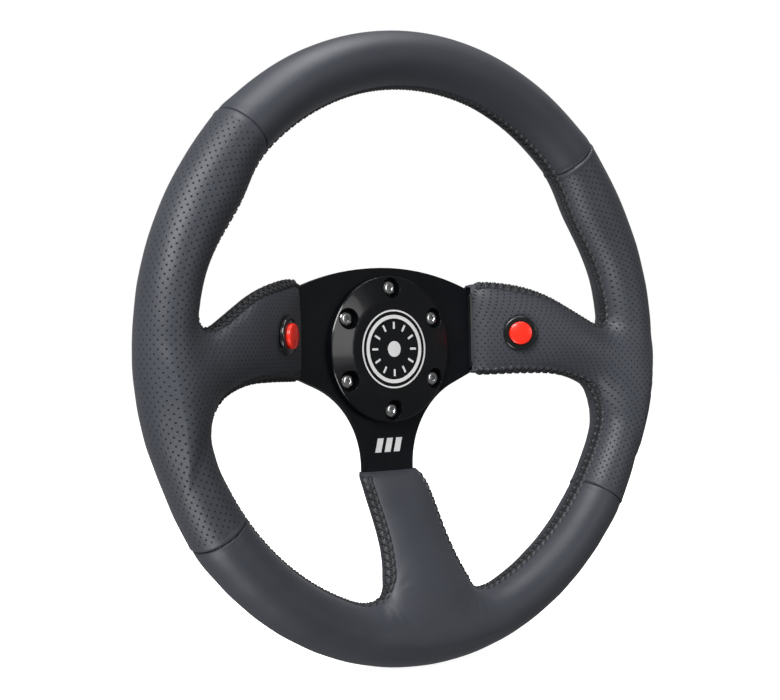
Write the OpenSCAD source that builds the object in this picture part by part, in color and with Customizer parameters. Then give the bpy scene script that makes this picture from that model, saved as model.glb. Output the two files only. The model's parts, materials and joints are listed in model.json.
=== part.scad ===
// Three-spoke dished steering wheel with two push buttons.
// Everything is drawn lying down: x to the right, y towards the top of the wheel and
// z from the back face of the hub plate towards the driver. stand() turns it upright,
// so that the driver's side faces -Y. The origin is the centre of the bolt circle.

/* [Rim] */
// Overall diameter over the leather
rim_d = 350; // [330:1:380]
// Radial thickness of the grip over the leather
grip_w = 30.4; // [28:0.2:34]
// Depth of the grip, front to back, over the leather
grip_depth = 35; // [32:0.5:38]
// Dish: distance from the back of the hub plate to the middle of the rim
dish = 36.5; // [32:0.5:60]
// Diameter of the ring tube inside the grip
core_d = 16; // [12:0.5:19]
// Wall of the ring tube
core_wall = 1.5; // [1:0.25:2.5]
// Extra inward swell of the thumb grips
swell = 5; // [2:0.5:7]
// Position of the thumb grips, in degrees from the top
swell_at = 58; // [54:1:62]
// Thickness of the leather
leather_t = 1.2; // [0.8:0.1:1.6]
// Upper leather seams, in degrees from the top
seam_up = 45.5; // [40:0.5:46]
// Lower leather seams, in degrees from the top
seam_low = 124.5; // [122:0.5:134]

/* [Hub plate] */
// Thickness of the spoke plate
plate_t = 4; // [3:0.25:5]
// Radius of the arc along the top edge
crown_r = 160; // [140:5:220]
// Height of the top edge above the hub centre
crown_h = 46.7; // [44:0.1:52]
// Radius of the two lower scoops
scoop_r = 49.8; // [44:0.2:54]
// Distance of the scoop centres from the hub centre, across and down
scoop_at = 67; // [66:0.5:71]
// Bolt circle diameter
bolt_pcd = 70; // [66:0.5:74]
// Number of hub screws
bolt_n = 6; // [6:3:6]
// Diameter of the hub screws
screw_d = 5; // [4:0.5:5.5]
// Length of the hub screws under the head
screw_l = 16; // [12:1:20]
// Diameter of the opening in the middle of the plate
hub_hole_d = 48; // [40:1:52]

/* [Spokes] */
// Where the side arms leave the flat plate, measured from the hub centre
side_bend = 62; // [58:0.5:63]
// Tilt of the side arms and of the button faces, in degrees
side_tilt = 35; // [30:1:38]
// Where the lower arm leaves the flat plate
low_bend = 70; // [68:0.5:74]
// Hub-side end of the side pads
side_mouth = 61.5; // [60:0.5:63]
// Hub-side end of the lower pad
low_mouth = 69.5; // [66:0.5:72]

/* [Centre cover] */
// How far the cover reaches past the bolt circle
cover_rim = 6.8; // [6.6:0.1:9]
// Height of the cover above the plate
cover_h = 7.1; // [6:0.1:9]
// Thickness of the cover over its middle
cover_skin = 2.2; // [1.6:0.1:3]
// Diameter of the screw counterbores
bore_d = 12; // [11:0.25:13]
// Diameter of the screw heads
head_d = 9.5; // [8:0.25:10]

/* [Buttons] */
// Distance of the buttons from the centre line
button_x = 81; // [79:0.2:84]
// Height of the buttons above the hub centre
button_y = 7.9; // [4:0.1:10]
// How far the bezel reaches past the barrel
bezel_lip = 2.2; // [1.6:0.1:3]
// Height of the bezel
bezel_h = 2.4; // [2:0.1:3]
// Wall of the threaded barrel
barrel_wall = 1.07; // [0.8:0.01:1.5]
// Diameter of the cap
cap_d = 13.5; // [12:0.1:13.6]
// Height of the cap above the bezel
cap_h = 3; // [2.5:0.1:4]
// Travel of the cap
travel = 2; // [1:0.1:2.4]
// Running clearance round the cap and its stem
slide_gap = 0.08; // [0.05:0.01:0.1]

/* [Hidden] */
$fn = 96;

leather = [0.24, 0.25, 0.28];
plastic = [0.06, 0.06, 0.065];
metal = [0.1, 0.1, 0.11];
bright = [0.82, 0.83, 0.85];

far = 400;                               // longer than anything in the wheel
tube_r = grip_w / 2;                     // radial half thickness of the grip
tube_z = grip_depth / 2;                 // half depth of the grip
ring_r = rim_d / 2 - tube_r;             // radius of the grip's centre line
inner_r = rim_d / 2 - grip_w;            // inside radius of the rim
swell_r = tube_r + swell / 2;            // radius of the thumb grip
swell_ring = rim_d / 2 - swell_r;        // radius on which its centre lies
swell_len = 29;                          // half length of the thumb grip
seam_gap = 0.3;                          // open groove between two leather panels
fit = 0.05;                              // clearance between pieces that are only laid together
hole_gap = 0.25;                         // clearance round a screw
mid = plate_t / 2;                       // middle of the plate's thickness
under = 1.8;                             // how far the leather wraps behind the plate
cover_d = bolt_pcd + 2 * cover_rim;      // diameter of the cover
barrel_d = cap_d + 2 * slide_gap + 2 * barrel_wall;
bezel_d = barrel_d + 2 * bezel_lip;
nut_d = barrel_d + 5.2;                  // lock nut, across its corners
bezel_rise = 13.3;                       // height of the bezel face over the middle of the arm
button_z = mid + (button_x - side_bend) * tan(side_tilt) + bezel_rise;
arm_front = bezel_rise * cos(side_tilt) - mid;   // depth of the arm's front under the bezel face
arm_back = arm_front + plate_t;          // depth of the arm's back
// Length of the tilted stretch of a side arm, along x: it reaches 1 mm past the lock nut
knee = button_x + arm_back * sin(side_tilt) + (nut_d / 2 + 1) * cos(side_tilt) - side_bend;

// ---- small helpers ----

// Turns the flat drawing upright.
module stand() rotate([90, 0, 0]) children();

// Draws its children on the right and mirrored on the left.
module both_sides() {
    children();
    mirror([1, 0, 0]) children();
}

// Angle of a direction given in degrees from the top, clockwise.
function from_top(t) = 90 - t;

// Points of an oval with half axes a and b.
function oval(a, b, n = 40) = [for (i = [0:n - 1]) [a * cos(i * 360 / n), b * sin(i * 360 / n)]];

// Points of an arc.
function arc(c, r, a0, a1, n) = [for (i = [0:n]) let (a = a0 + (a1 - a0) * i / n) c + r * [cos(a), sin(a)]];

// Left-hand unit normal of the line from p to q.
function side_of(p, q) = let (v = q - p) [-v[1], v[0]] / norm(v);

// Moves every edge of an anticlockwise outline inwards by d.
function inset(pts, d) = let (n = len(pts)) [for (i = [0:n - 1])
    let (a = side_of(pts[(i + n - 1) % n], pts[i]), b = side_of(pts[i], pts[(i + 1) % n]))
    pts[i] + d * (a + b) / (1 + a * b)];

// A band of the given thickness along a line of points, for one bent strip.
function band(pts, t) = let (n = len(pts))
    let (turn = [for (i = [0:n - 1])
        let (a = side_of(pts[max(i - 1, 0)], pts[max(i, 1)]))
        let (b = side_of(pts[min(i, n - 2)], pts[min(i + 1, n - 1)]))
        (a + b) / (1 + a * b)])
    concat([for (i = [0:n - 1]) pts[i] - turn[i] * t / 2], [for (i = [n - 1:-1:0]) pts[i] + turn[i] * t / 2]);

// ---- outlines ----

// Side pad seen from the front: a crowned top edge, a straight lower edge that flares to the rim.
pad_far = ring_r - 10;
flare_run = 51.8;                        // how far from its end a pad begins to flare
pad_end = 2.246;                         // height of the top edge at the far end
top_c = [67, -46];
top_r = 84;
top_turn = 59;                           // the crown runs straight to the rim from here, in degrees
low_y = -15.6;
flare_r = 62;
flare_x = pad_far - flare_run;
turn_x = top_c[0] + top_r * cos(top_turn);
turn_y = top_c[1] + top_r * sin(top_turn);
function pad_top(x) = x < turn_x
    ? top_c[1] + sqrt(pow(top_r, 2) - pow(x - top_c[0], 2))
    : turn_y - (x - turn_x) * (turn_y - pad_end) / (pad_far - turn_x);
function side_outline() = concat(
    [[side_mouth, low_y], [flare_x, low_y]],
    arc([flare_x, low_y - flare_r], flare_r, 84, 90 - asin((pad_far - flare_x) / flare_r), 6),
    [[pad_far, pad_top(pad_far)]],
    arc(top_c, top_r, top_turn, 90, 8),
    [[side_mouth, pad_top(side_mouth)]]);

// Front of the side pad: the tilted face that the bezel of the button rests on.
function front_z(x) = button_z - 3 + (x - button_x) * tan(side_tilt);

// Side pad in section along the spoke: x outwards, y towards the driver.
function side_section() = [
    [side_mouth, -under], [side_mouth + 3, -under], [84, 7.6], [131, dish - 16.5],
    [pad_far, dish - tube_z + 1.5], [pad_far, dish + tube_z - 3.4],
    [95, front_z(95)], [side_mouth, front_z(side_mouth)]];

// Lower pad seen from the front, with its sides flaring to the rim.
low_half = 20;
low_taper = 1.8;                         // how much wider each side is where it begins to flare
low_flare_r = 88;
low_flare_y = pad_far - flare_run;
low_flare_a = asin((pad_far - low_flare_y) / low_flare_r);
function low_flare(s) = arc([s * (low_half + low_flare_r + low_taper), -low_flare_y], low_flare_r,
    s > 0 ? 180 : 0, s > 0 ? 180 + low_flare_a : -low_flare_a, 6);
function low_outline() = concat(
    [[low_half, -low_mouth], [-low_half, -low_mouth]], low_flare(-1),
    [for (i = [6:-1:0]) low_flare(1)[i]]);

// Lower pad in section: x downwards from the hub, y towards the driver.
function low_section() = [
    [low_mouth, -under], [low_mouth + 3.5, -under], [84, 3.4], [131, dish - 15],
    [pad_far, dish - tube_z + 2.5], [pad_far, dish + tube_z - 3.4],
    [131, dish + 11], [80, 19], [low_mouth, 10.5]];

// ---- solids shared by several parts ----

// Grip ring between two angles from the top, drawn d inside the leather surface.
module ring_part(from, to, d) {
    rotate([0, 0, from_top(to)])
        rotate_extrude(angle = to - from)
            translate([ring_r, 0])
                polygon(oval(tube_r - d, tube_z - d));
}

// Whole grip ring, d inside the leather surface.
module ring_whole(d) {
    rotate_extrude()
        translate([ring_r, 0])
            polygon(oval(tube_r - d, tube_z - d));
}

// Thumb swelling: a spindle across the grip whose outside keeps to the rim circle.
module thumb_swell(d) {
    rotate([0, 0, from_top(swell_at)])
        translate([swell_ring, 0, dish])
            rotate([90, 0, 0])
                rotate_extrude()
                    polygon(concat([[0, -swell_len]],
                        [for (i = [-8:8]) let (s = i * swell_len / 8)
                            [swell_r - d - s * s / (2 * swell_ring), s]],
                        [[0, swell_len]]));
}

// Right pad, d inside the leather surface.
module side_solid(d) {
    intersection() {
        translate([0, 0, -far / 4]) linear_extrude(far / 2) polygon(inset(side_outline(), d));
        rotate([90, 0, 0]) translate([0, 0, -far / 2]) linear_extrude(far) polygon(inset(side_section(), d));
    }
}

// Lower pad, d inside the leather surface.
module low_solid(d) {
    intersection() {
        translate([0, 0, -far / 4]) linear_extrude(far / 2) polygon(inset(low_outline(), d));
        rotate([90, 0, -90]) translate([0, 0, -far / 2]) linear_extrude(far) polygon(inset(low_section(), d));
    }
}

// Solid ring that the core tube fills.
module core_solid(gap = 0) {
    translate([0, 0, dish]) rotate_extrude() translate([ring_r, 0]) circle(d = core_d + 2 * gap);
}

// Frame of a button: z along its axis towards the driver, zero at the bezel face.
module at_button() {
    translate([button_x, button_y, button_z]) rotate([0, -side_tilt, 0]) children();
}

// Round bar along the button's axis between two depths under the bezel face.
module button_bar(d, top, bottom) {
    translate([0, 0, -bottom]) cylinder(d = d, h = bottom - top);
}

// ---- hub plate and rim frame ----

// Flat part of the plate, seen from the front.
module plate_outline() {
    edge = 22.7;                         // slope of the straight run after each scoop
    difference() {
        intersection() {
            translate([0, crown_h - crown_r]) circle(r = crown_r, $fn = 200);
            translate([-side_bend, -low_bend]) square([2 * side_bend, low_bend + crown_h]);
        }
        for (s = [-1, 1]) {
            translate([s * scoop_at, -scoop_at]) circle(r = scoop_r);
            polygon([
                [s * (scoop_at - scoop_r * sin(edge)), -scoop_at + scoop_r * cos(edge)],
                [s * (scoop_at + 10),
                    -scoop_at + scoop_r * cos(edge) + (10 + scoop_r * sin(edge)) * tan(edge)],
                [s * (scoop_at + 10), -scoop_at], [s * scoop_at, -scoop_at]]);
            translate([s * (scoop_at - scoop_r + far / 2), -scoop_at - far / 2]) square(far, center = true);
        }
    }
}

// Side arm: a strip bent twice, narrowing towards the rim.
module side_arm() {
    knee_z = mid + knee * tan(side_tilt);
    intersection() {
        rotate([90, 0, 0]) translate([0, 0, -far / 2]) linear_extrude(far)
            polygon(band([[side_bend - 2, mid], [side_bend, mid],
                [side_bend + knee, knee_z], [ring_r - 2, dish]], plate_t));
        translate([0, 0, -far / 4]) linear_extrude(far / 2)
            polygon([[side_bend - 1, -12], [side_bend + knee, -9], [ring_r, -18],
                [ring_r, -4], [side_bend + knee, 22], [side_bend - 1, 31]]);
    }
}

// Lower arm: a strip bent twice, steep at first.
module low_arm() {
    low_knee = [30, 16];                 // length and rise of the steep stretch
    intersection() {
        rotate([90, 0, -90]) translate([0, 0, -far / 2]) linear_extrude(far)
            polygon(band([[low_bend - 2, mid], [low_bend, mid],
                [low_bend + low_knee[0], mid + low_knee[1]], [ring_r - 2, dish]], plate_t));
        translate([0, 0, -far / 4]) linear_extrude(far / 2)
            polygon([[-15, -low_bend + 1], [-15, -ring_r], [15, -ring_r], [15, -low_bend + 1]]);
    }
}

// Plate with its arms, before any hole is drilled.
module plate_blank() {
    linear_extrude(plate_t) plate_outline();
    both_sides() side_arm();
    low_arm();
}

// Spoke plate: flat hub, two side arms and a lower arm.
module spoke_plate() {
    color(metal) stand() difference() {
        plate_blank();
        core_solid();
        translate([0, 0, -1]) cylinder(d = hub_hole_d, h = plate_t + 2);
        at_bolts() translate([0, 0, -1]) cylinder(d = screw_d + 2 * hole_gap, h = plate_t + 2);
        both_sides() at_button() button_bar(barrel_d + 2 * hole_gap, arm_front - 3, arm_back + 3);
    }
}

// Ring tube, welded to the ends of the arms.
module rim_core() {
    color(metal) stand() translate([0, 0, dish]) rotate_extrude() translate([ring_r, 0]) difference() {
        circle(d = core_d);
        circle(d = core_d - 2 * core_wall);
    }
}

// Weld beads: one in front of and one behind each arm end, laid in the corner with the tube.
module rim_welds() {
    bead = 3.4;
    run = 4;                             // half length of a bead, in degrees
    color(metal) stand() difference() {
        for (t = [92.6, 180, 267.4], s = [-1, 1])
            rotate([0, 0, from_top(t + run)]) rotate_extrude(angle = 2 * run)
                translate([ring_r - core_d / 2 - 0.2, dish + s * (mid + 1.6)]) circle(d = bead, $fn = 24);
        core_solid();
        plate_blank();
    }
}

// ---- grip ----

// Moulded foam round the ring tube, with a swelling for each thumb.
module rim_foam() {
    color("dimgray") stand() difference() {
        union() {
            translate([0, 0, dish]) ring_whole(leather_t + fit);
            both_sides() thumb_swell(leather_t + fit);
        }
        core_solid(fit);
        plate_blank();
        weld_room();
    }
}

// Room in the foam for the weld beads.
module weld_room() {
    for (t = [92.6, 180, 267.4])
        rotate([0, 0, from_top(t + 5)]) rotate_extrude(angle = 10)
            translate([ring_r - core_d / 2 - 3, dish - 7]) square([5, 14]);
}

// Room for the plate in pads and leather.
module plate_room() {
    linear_extrude(plate_t) plate_outline();
    side_arm();
    low_arm();
}

// Room for a button: its barrel, and a pocket behind the arm for the nut and the tags.
pocket_d = nut_d + 3;
module button_room() {
    at_button() {
        button_bar(barrel_d + 2 * hole_gap, -5, 20);
        button_bar(pocket_d, arm_front + mid, 60);
    }
}

// Space inside the rim, where the pads lie.
module inside_rim() {
    cylinder(r = inner_r + leather_t, h = far, center = true);
}

// Foam pad round a side arm, with the pocket for its button.
module side_pad() {
    difference() {
        intersection() {
            side_solid(leather_t + fit);
            inside_rim();
        }
        plate_room();
        button_room();
    }
}
module right_pad() { color("dimgray") stand() side_pad(); }
module left_pad() { color("dimgray") stand() mirror([1, 0, 0]) side_pad(); }

// Foam pad round the lower arm.
module lower_pad() {
    color("dimgray") stand() difference() {
        intersection() {
            low_solid(leather_t + fit);
            inside_rim();
        }
        plate_room();
    }
}

// ---- leather ----

// Angle that half a seam's gap takes at the grip.
gap_a = seam_gap / 2 / ring_r * 180 / PI;

// Upper leather, from seam to seam over the top of the rim.
module leather_upper() {
    color(leather) stand() translate([0, 0, dish]) difference() {
        ring_part(-seam_up + gap_a, seam_up - gap_a, 0);
        ring_part(-seam_up - 1, seam_up + 1, leather_t);
    }
}

// Side leather: grip, thumb swelling and side spoke in one sleeve.
module side_leather() {
    difference() {
        union() {
            translate([0, 0, dish]) ring_part(seam_up + gap_a, seam_low - gap_a, 0);
            thumb_swell(0);
            side_solid(0);
        }
        translate([0, 0, dish]) ring_whole(leather_t);
        thumb_swell(leather_t);
        side_solid(leather_t);
        plate_room();
        button_room();
        at_button() button_bar(bezel_d + 2 * fit, -5, bezel_h);
    }
}
module leather_right() { color(leather) stand() side_leather(); }
module leather_left() { color(leather) stand() mirror([1, 0, 0]) side_leather(); }

// Lower leather: the bottom of the rim and the lower spoke.
module leather_lower() {
    color(leather) stand() difference() {
        union() {
            translate([0, 0, dish]) ring_part(seam_low + gap_a, 360 - seam_low - gap_a, 0);
            low_solid(0);
        }
        translate([0, 0, dish]) ring_whole(leather_t);
        low_solid(leather_t);
        plate_room();
    }
}

// ---- stitching ----

stitch_d = 0.9;
stitch_l = 3.6;
stitch_step = 2.2;                       // degrees between stitches on the rim
stitch_sink = 0.25;                      // how deep a stitch beds into the leather

// Inside radius of the grip at t degrees from the top, thumb swellings included.
function grip_inner(t) = let (off = abs(abs(t) - swell_at), s = swell_ring * tan(min(off, 60)))
    off > 14 ? inner_r : min(inner_r, swell_ring - swell_r + s * s / swell_ring);

// One thread laid across the seam, which runs along the middle of the grip's inside.
module rim_stitch(t) {
    rotate([0, 0, from_top(t)])
        translate([grip_inner(t) - stitch_d / 2 + stitch_sink, 0, dish - stitch_l / 2])
            cylinder(d = stitch_d, h = stitch_l, $fn = 16);
}
module rim_stitches(from, to) {
    n = floor((to - from) / stitch_step);
    for (i = [0:n]) rim_stitch(from + (to - from) * i / n);
}

// One thread along the edge of a spoke, bedded into the leather at [x, y], with its middle at z.
module edge_stitch(x, y, z) {
    translate([x, y, z - stitch_l / 2]) cylinder(d = stitch_d, h = stitch_l, $fn = 16);
}

// Middle height of a side pad, where its seams run.
function side_mid(x) = lookup(x, [[side_mouth, 5], [84, 17.5], [131, dish - 3]]);
module side_stitches() {
    out = stitch_d / 2 - stitch_sink;
    rim_stitches(seam_up + 2, 80);
    rim_stitches(107, seam_low - 2);
    for (x = [64:5.5:124]) {
        edge_stitch(x, pad_top(x) + out, side_mid(x));
        if (x < flare_x) edge_stitch(x, low_y - out, side_mid(x));
    }
}
module stitches_upper() { color("black") stand() rim_stitches(-seam_up + 2, seam_up - 2); }
module stitches_right() { color("black") stand() side_stitches(); }
module stitches_left() { color("black") stand() mirror([1, 0, 0]) side_stitches(); }

// Half width and middle height of the lower pad at a distance y below the hub.
function low_side(y) = low_half + (y - low_mouth) * low_taper / (low_flare_y - low_mouth);
function low_mid(y) = (y - low_mouth) * 0.5 + 4;
module stitches_lower() {
    color("black") stand() {
        both_sides() {
            rim_stitches(seam_low + 2, 166);
            for (y = [76:5.5:low_flare_y])
                edge_stitch(low_side(y) + stitch_d / 2 - stitch_sink, -y, low_mid(y));
        }
    }
}

// ---- centre ----

// Places its children at every hub screw.
module at_bolts() {
    for (i = [0:bolt_n - 1])
        rotate([0, 0, 30 + i * 360 / bolt_n]) translate([bolt_pcd / 2, 0, 0]) children();
}

seat = plate_t + 1.2;                    // height of the screw seats in the cover
shank_d = screw_d - 0.5;                 // plain shank between the head and the thread
cover_top = plate_t + cover_h;
cover_edge = cover_h - 2.5;              // height of the cover's rim

// Centre cover: a shallow cone with a flat middle and six counterbores.
module centre_cover() {
    color(plastic) stand() difference() {
        translate([0, 0, plate_t]) rotate_extrude() polygon([
            [0, 0], [cover_d / 2, 0], [cover_d / 2, cover_edge - 0.6], [cover_d / 2 - 0.6, cover_edge],
            [30, cover_h - 0.3], [27, cover_h], [0, cover_h]]);
        translate([0, 0, plate_t - 1]) cylinder(d = hub_hole_d, h = cover_h - cover_skin + 1);
        at_bolts() {
            translate([0, 0, plate_t - 1]) cylinder(d = screw_d + 2 * hole_gap, h = cover_h);
            translate([0, 0, seat]) cylinder(d = bore_d, h = cover_h);
        }
    }
}

// Emblem: two rings and a crown of ticks, printed on the cover.
module cover_emblem() {
    print_t = 0.15;
    color("whitesmoke") stand() translate([0, 0, cover_top]) linear_extrude(print_t) {
        difference() {
            circle(r = 22.4);
            circle(r = 21.5);
        }
        difference() {
            circle(r = 19.5);
            circle(r = 17.4);
        }
        for (i = [0:11]) rotate(i * 30) translate([11.5, -0.6]) square([4, 1.2]);
        circle(r = 4.5);
    }
}

// Mark on the neck of the plate: three slanted bars.
module plate_mark() {
    print_t = 0.1;
    bar = [4.2, 8];
    color("whitesmoke") stand() translate([0, -55, plate_t]) linear_extrude(print_t)
        for (i = [-1:1]) translate([i * 6.6, 0])
            polygon([[-bar[0] / 2 - 1, -bar[1] / 2], [bar[0] / 2 - 1, -bar[1] / 2],
                [bar[0] / 2 + 1, bar[1] / 2], [-bar[0] / 2 + 1, bar[1] / 2]]);
}

// Hub screws: button heads with a hexagon socket; their threads stand out behind the plate.
module hub_screws() {
    head_h = 2.75;
    socket_af = 3;
    socket_deep = 1.6;
    color(bright) stand() at_bolts() translate([0, 0, seat]) {
        difference() {
            rotate_extrude() polygon(concat([[0, 0], [head_d / 2, 0]],
                [for (i = [0:6]) [head_d / 2 * cos(i * 9), 0.4 + (head_h - 0.4) * sin(i * 9) / sin(54)]],
                [[0, head_h]]));
            translate([0, 0, head_h - socket_deep]) cylinder(d = socket_af / cos(30), h = head_h, $fn = 6);
        }
        translate([0, 0, -seat]) cylinder(d = shank_d, h = seat + 0.01);
        translate([0, 0, -screw_l]) cylinder(d = screw_d, h = screw_l - seat);
    }
}

// ---- buttons: all depths are measured along the axis, under the bezel face ----

cap_floor = 3.6;                         // lower edge of the cap's skirt
bore_end = cap_floor + travel + 0.4;     // end of the cap's bore
guide_t = 1.6;                           // wall that guides the stem
chamber_d = 10.6;                        // chamber for the contacts
stem_d = 4;
disc_t = 0.8;                            // contact disc
disc_top = bore_end + guide_t + 0.1;
post_top = disc_top + disc_t + travel + 0.1;
base_top = post_top + 1;
nut_h = 2.6;
body_end = max(base_top + 3, arm_back + nut_h + 0.6);

// Body of a button: bezel, threaded barrel, cap bore and contact chamber.
module button_body() {
    bezel_edge = 0.7;
    color(plastic) difference() {
        union() {
            rotate_extrude() polygon([
                [0, -bezel_h], [bezel_d / 2, -bezel_h],
                [bezel_d / 2, -bezel_edge], [bezel_d / 2 - bezel_edge, 0], [0, 0]]);
            button_bar(barrel_d, 0, body_end);
        }
        button_bar(cap_d + 2 * slide_gap, -1, bore_end);
        button_bar(stem_d + 2 * slide_gap, 0, body_end);
        button_bar(chamber_d, bore_end + guide_t, body_end + 1);
    }
}

// Lock nut behind the arm.
module button_nut() {
    color(plastic) difference() {
        translate([0, 0, -arm_back - nut_h]) cylinder(d = nut_d, h = nut_h, $fn = 6);
        button_bar(barrel_d, 0, 30);
    }
}

// Cap: a domed cup that stands out of the bezel.
module button_cap() {
    dome = 0.6;
    color("red") difference() {
        rotate_extrude() polygon(concat(
            [[0, -cap_floor], [cap_d / 2, -cap_floor], [cap_d / 2, cap_h - dome - 0.5]],
            [for (i = [0:6]) [(cap_d / 2 - 0.4) * (1 - i / 6), cap_h - dome * pow(1 - i / 6, 2)]]));
        button_bar(cap_d - 3, -0.4, cap_floor + 1);
    }
}

// Stem: pushes the contact disc.
module button_stem() {
    color("ivory") difference() {
        button_bar(stem_d, -0.4, disc_top + disc_t);
        button_bar(stem_d + 1, disc_top, disc_top + disc_t + 1);
    }
    color("ivory") button_bar(stem_d - 1.6, disc_top, disc_top + disc_t + 0.5);
}

// Contact disc, held on the foot of the stem.
module button_contact() {
    color("gold") difference() {
        button_bar(chamber_d - 1, disc_top, disc_top + disc_t);
        button_bar(stem_d - 1.6, 0, 30);
    }
}

// Return spring between the cap and the guide wall.
module button_spring() {
    wire = 0.6;
    coil_r = 3.6;
    turns = 5;
    height = bore_end - 0.4 - wire;
    color("silver") for (i = [0:turns - 1])
        translate([0, 0, -bore_end + wire / 2 + fit + (height - 2 * fit) * (i + 0.5) / turns])
            rotate_extrude() translate([coil_r, 0]) circle(d = wire, $fn = 16);
}

// Base that closes the contact chamber.
module button_base() {
    color(plastic) difference() {
        button_bar(chamber_d, base_top, body_end);
        button_tags(fit);
    }
}

// The two tags, or the room that they need.
module button_tags(gap) {
    tag = [0.8, 2.8];
    for (s = [-1, 1])
        translate([s * 3.4 - tag[0] / 2 - gap, -tag[1] / 2 - gap, -body_end - 5])
            cube([tag[0] + 2 * gap, tag[1] + 2 * gap, body_end + 5 - post_top]);
}
module button_terminals() { color("gold") button_tags(0); }

// Puts a button piece in its place on the right or the left.
module on_right() stand() at_button() children();
module on_left() stand() mirror([1, 0, 0]) at_button() children();

module left_button_body() { on_left() button_body(); }
module left_button_nut() { on_left() button_nut(); }
module left_button_cap() { on_left() button_cap(); }
module left_button_stem() { on_left() button_stem(); }
module left_button_spring() { on_left() button_spring(); }
module left_button_contact() { on_left() button_contact(); }
module left_button_base() { on_left() button_base(); }
module left_button_terminals() { on_left() button_terminals(); }
module right_button_body() { on_right() button_body(); }
module right_button_nut() { on_right() button_nut(); }
module right_button_cap() { on_right() button_cap(); }
module right_button_stem() { on_right() button_stem(); }
module right_button_spring() { on_right() button_spring(); }
module right_button_contact() { on_right() button_contact(); }
module right_button_base() { on_right() button_base(); }
module right_button_terminals() { on_right() button_terminals(); }

spoke_plate();
rim_core();
rim_welds();
rim_foam();
left_pad();
right_pad();
lower_pad();
leather_upper();
leather_left();
leather_right();
leather_lower();
stitches_upper();
stitches_left();
stitches_right();
stitches_lower();
centre_cover();
cover_emblem();
plate_mark();
hub_screws();
left_button_body();
left_button_nut();
left_button_cap();
left_button_stem();
left_button_spring();
left_button_contact();
left_button_base();
left_button_terminals();
right_button_body();
right_button_nut();
right_button_cap();
right_button_stem();
right_button_spring();
right_button_contact();
right_button_base();
right_button_terminals();
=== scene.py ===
"""Looks of a dished three-spoke steering wheel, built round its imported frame.

Shapes are worked out in the wheel's drawing: x to the driver's right, y to the top of the wheel and z from
the back of the hub plate towards the driver, all in millimetres. to_frame() turns them into the frame.
"""

from __future__ import annotations

import json
import logging
import math
from dataclasses import dataclass, field
from enum import Enum

import bmesh
import bpy
import numpy as np
from mathutils import Matrix, Vector

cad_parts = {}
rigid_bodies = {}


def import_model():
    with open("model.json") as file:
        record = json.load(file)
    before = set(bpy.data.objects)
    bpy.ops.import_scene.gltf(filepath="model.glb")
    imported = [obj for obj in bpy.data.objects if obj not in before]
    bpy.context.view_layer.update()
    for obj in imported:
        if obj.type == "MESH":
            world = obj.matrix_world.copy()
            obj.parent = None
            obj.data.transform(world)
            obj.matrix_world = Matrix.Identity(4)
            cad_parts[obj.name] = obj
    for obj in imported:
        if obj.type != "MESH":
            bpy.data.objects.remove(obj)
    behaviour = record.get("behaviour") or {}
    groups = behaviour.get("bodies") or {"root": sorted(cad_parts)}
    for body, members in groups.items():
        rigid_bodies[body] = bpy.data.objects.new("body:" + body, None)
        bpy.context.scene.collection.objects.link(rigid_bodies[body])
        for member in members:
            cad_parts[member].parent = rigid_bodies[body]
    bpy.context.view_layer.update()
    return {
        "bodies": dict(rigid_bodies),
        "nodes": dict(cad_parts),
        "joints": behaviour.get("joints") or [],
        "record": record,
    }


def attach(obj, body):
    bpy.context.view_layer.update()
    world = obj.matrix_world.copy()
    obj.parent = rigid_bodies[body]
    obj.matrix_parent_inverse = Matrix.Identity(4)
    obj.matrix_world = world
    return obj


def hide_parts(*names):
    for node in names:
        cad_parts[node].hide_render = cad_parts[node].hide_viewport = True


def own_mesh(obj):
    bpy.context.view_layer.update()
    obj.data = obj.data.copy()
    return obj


LOG = logging.getLogger("steering_wheel")
Array = np.ndarray
MM = 0.001
WHEEL = "wheel"
PANEL_NAMES = ("upper", "left", "right", "lower")


# ---------------------------------------------------------------------------------------------
# Small tools
# ---------------------------------------------------------------------------------------------


class Side(Enum):
    """A side of the wheel as the driver sees it, with the sign of its x."""

    LEFT = -1
    RIGHT = 1

    @property
    def label(self) -> str:
        """Name of the side in lower case."""
        return self.name.lower()


class Opening(Enum):
    """One of the three openings between the spokes."""

    UPPER = "upper"
    LEFT = "left"
    RIGHT = "right"


def to_frame(p: Array) -> Array:
    """Turns drawing points in millimetres into frame points in metres.

    Args:
        p: Points of shape (n, 3).

    Returns:
        Points of shape (n, 3): x stays, the drawing's z becomes -y and its y becomes z.
    """
    return np.stack([p[:, 0], -p[:, 2], p[:, 1]], axis=1) * MM


def smooth_step(a: float, b: float, x: Array) -> Array:
    """Rises from 0 at a to 1 at b along 3t^2 - 2t^3.

    Args:
        a: Value where the step starts.
        b: Value where it ends.
        x: Values to look up.

    Returns:
        The step at each value.
    """
    t = np.clip((x - a) / (b - a), 0.0, 1.0)
    return t * t * (3.0 - 2.0 * t)


def smooth_min(a: Array, b: Array, k: float) -> Array:
    """Smaller of two fields, with the corner between them rounded over a width k.

    Args:
        a: First field.
        b: Second field.
        k: Width of the rounding.

    Returns:
        min(a, b) - h^2 k / 4 with h = max(k - |a - b|, 0) / k.
    """
    h = np.maximum(k - np.abs(a - b), 0.0) / k
    return np.minimum(a, b) - h * h * k / 4.0


def bump(x: Array, at: float, height: float, below: float, above: float) -> Array:
    """Bell curve of the given height, with its own width on each side.

    Args:
        x: Values to look up.
        at: Where the bell peaks.
        height: Height of the peak.
        below: Width under the peak's place.
        above: Width past the peak's place.

    Returns:
        height * exp(-((x - at) / width)^2).
    """
    width = np.where(x < at, below, above)
    return height * np.exp(-(((x - at) / width) ** 2))


def full_turn(steps: int) -> Array:
    """Even angles round a full turn."""
    return np.arange(steps) * 2.0 * np.pi / steps


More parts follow.
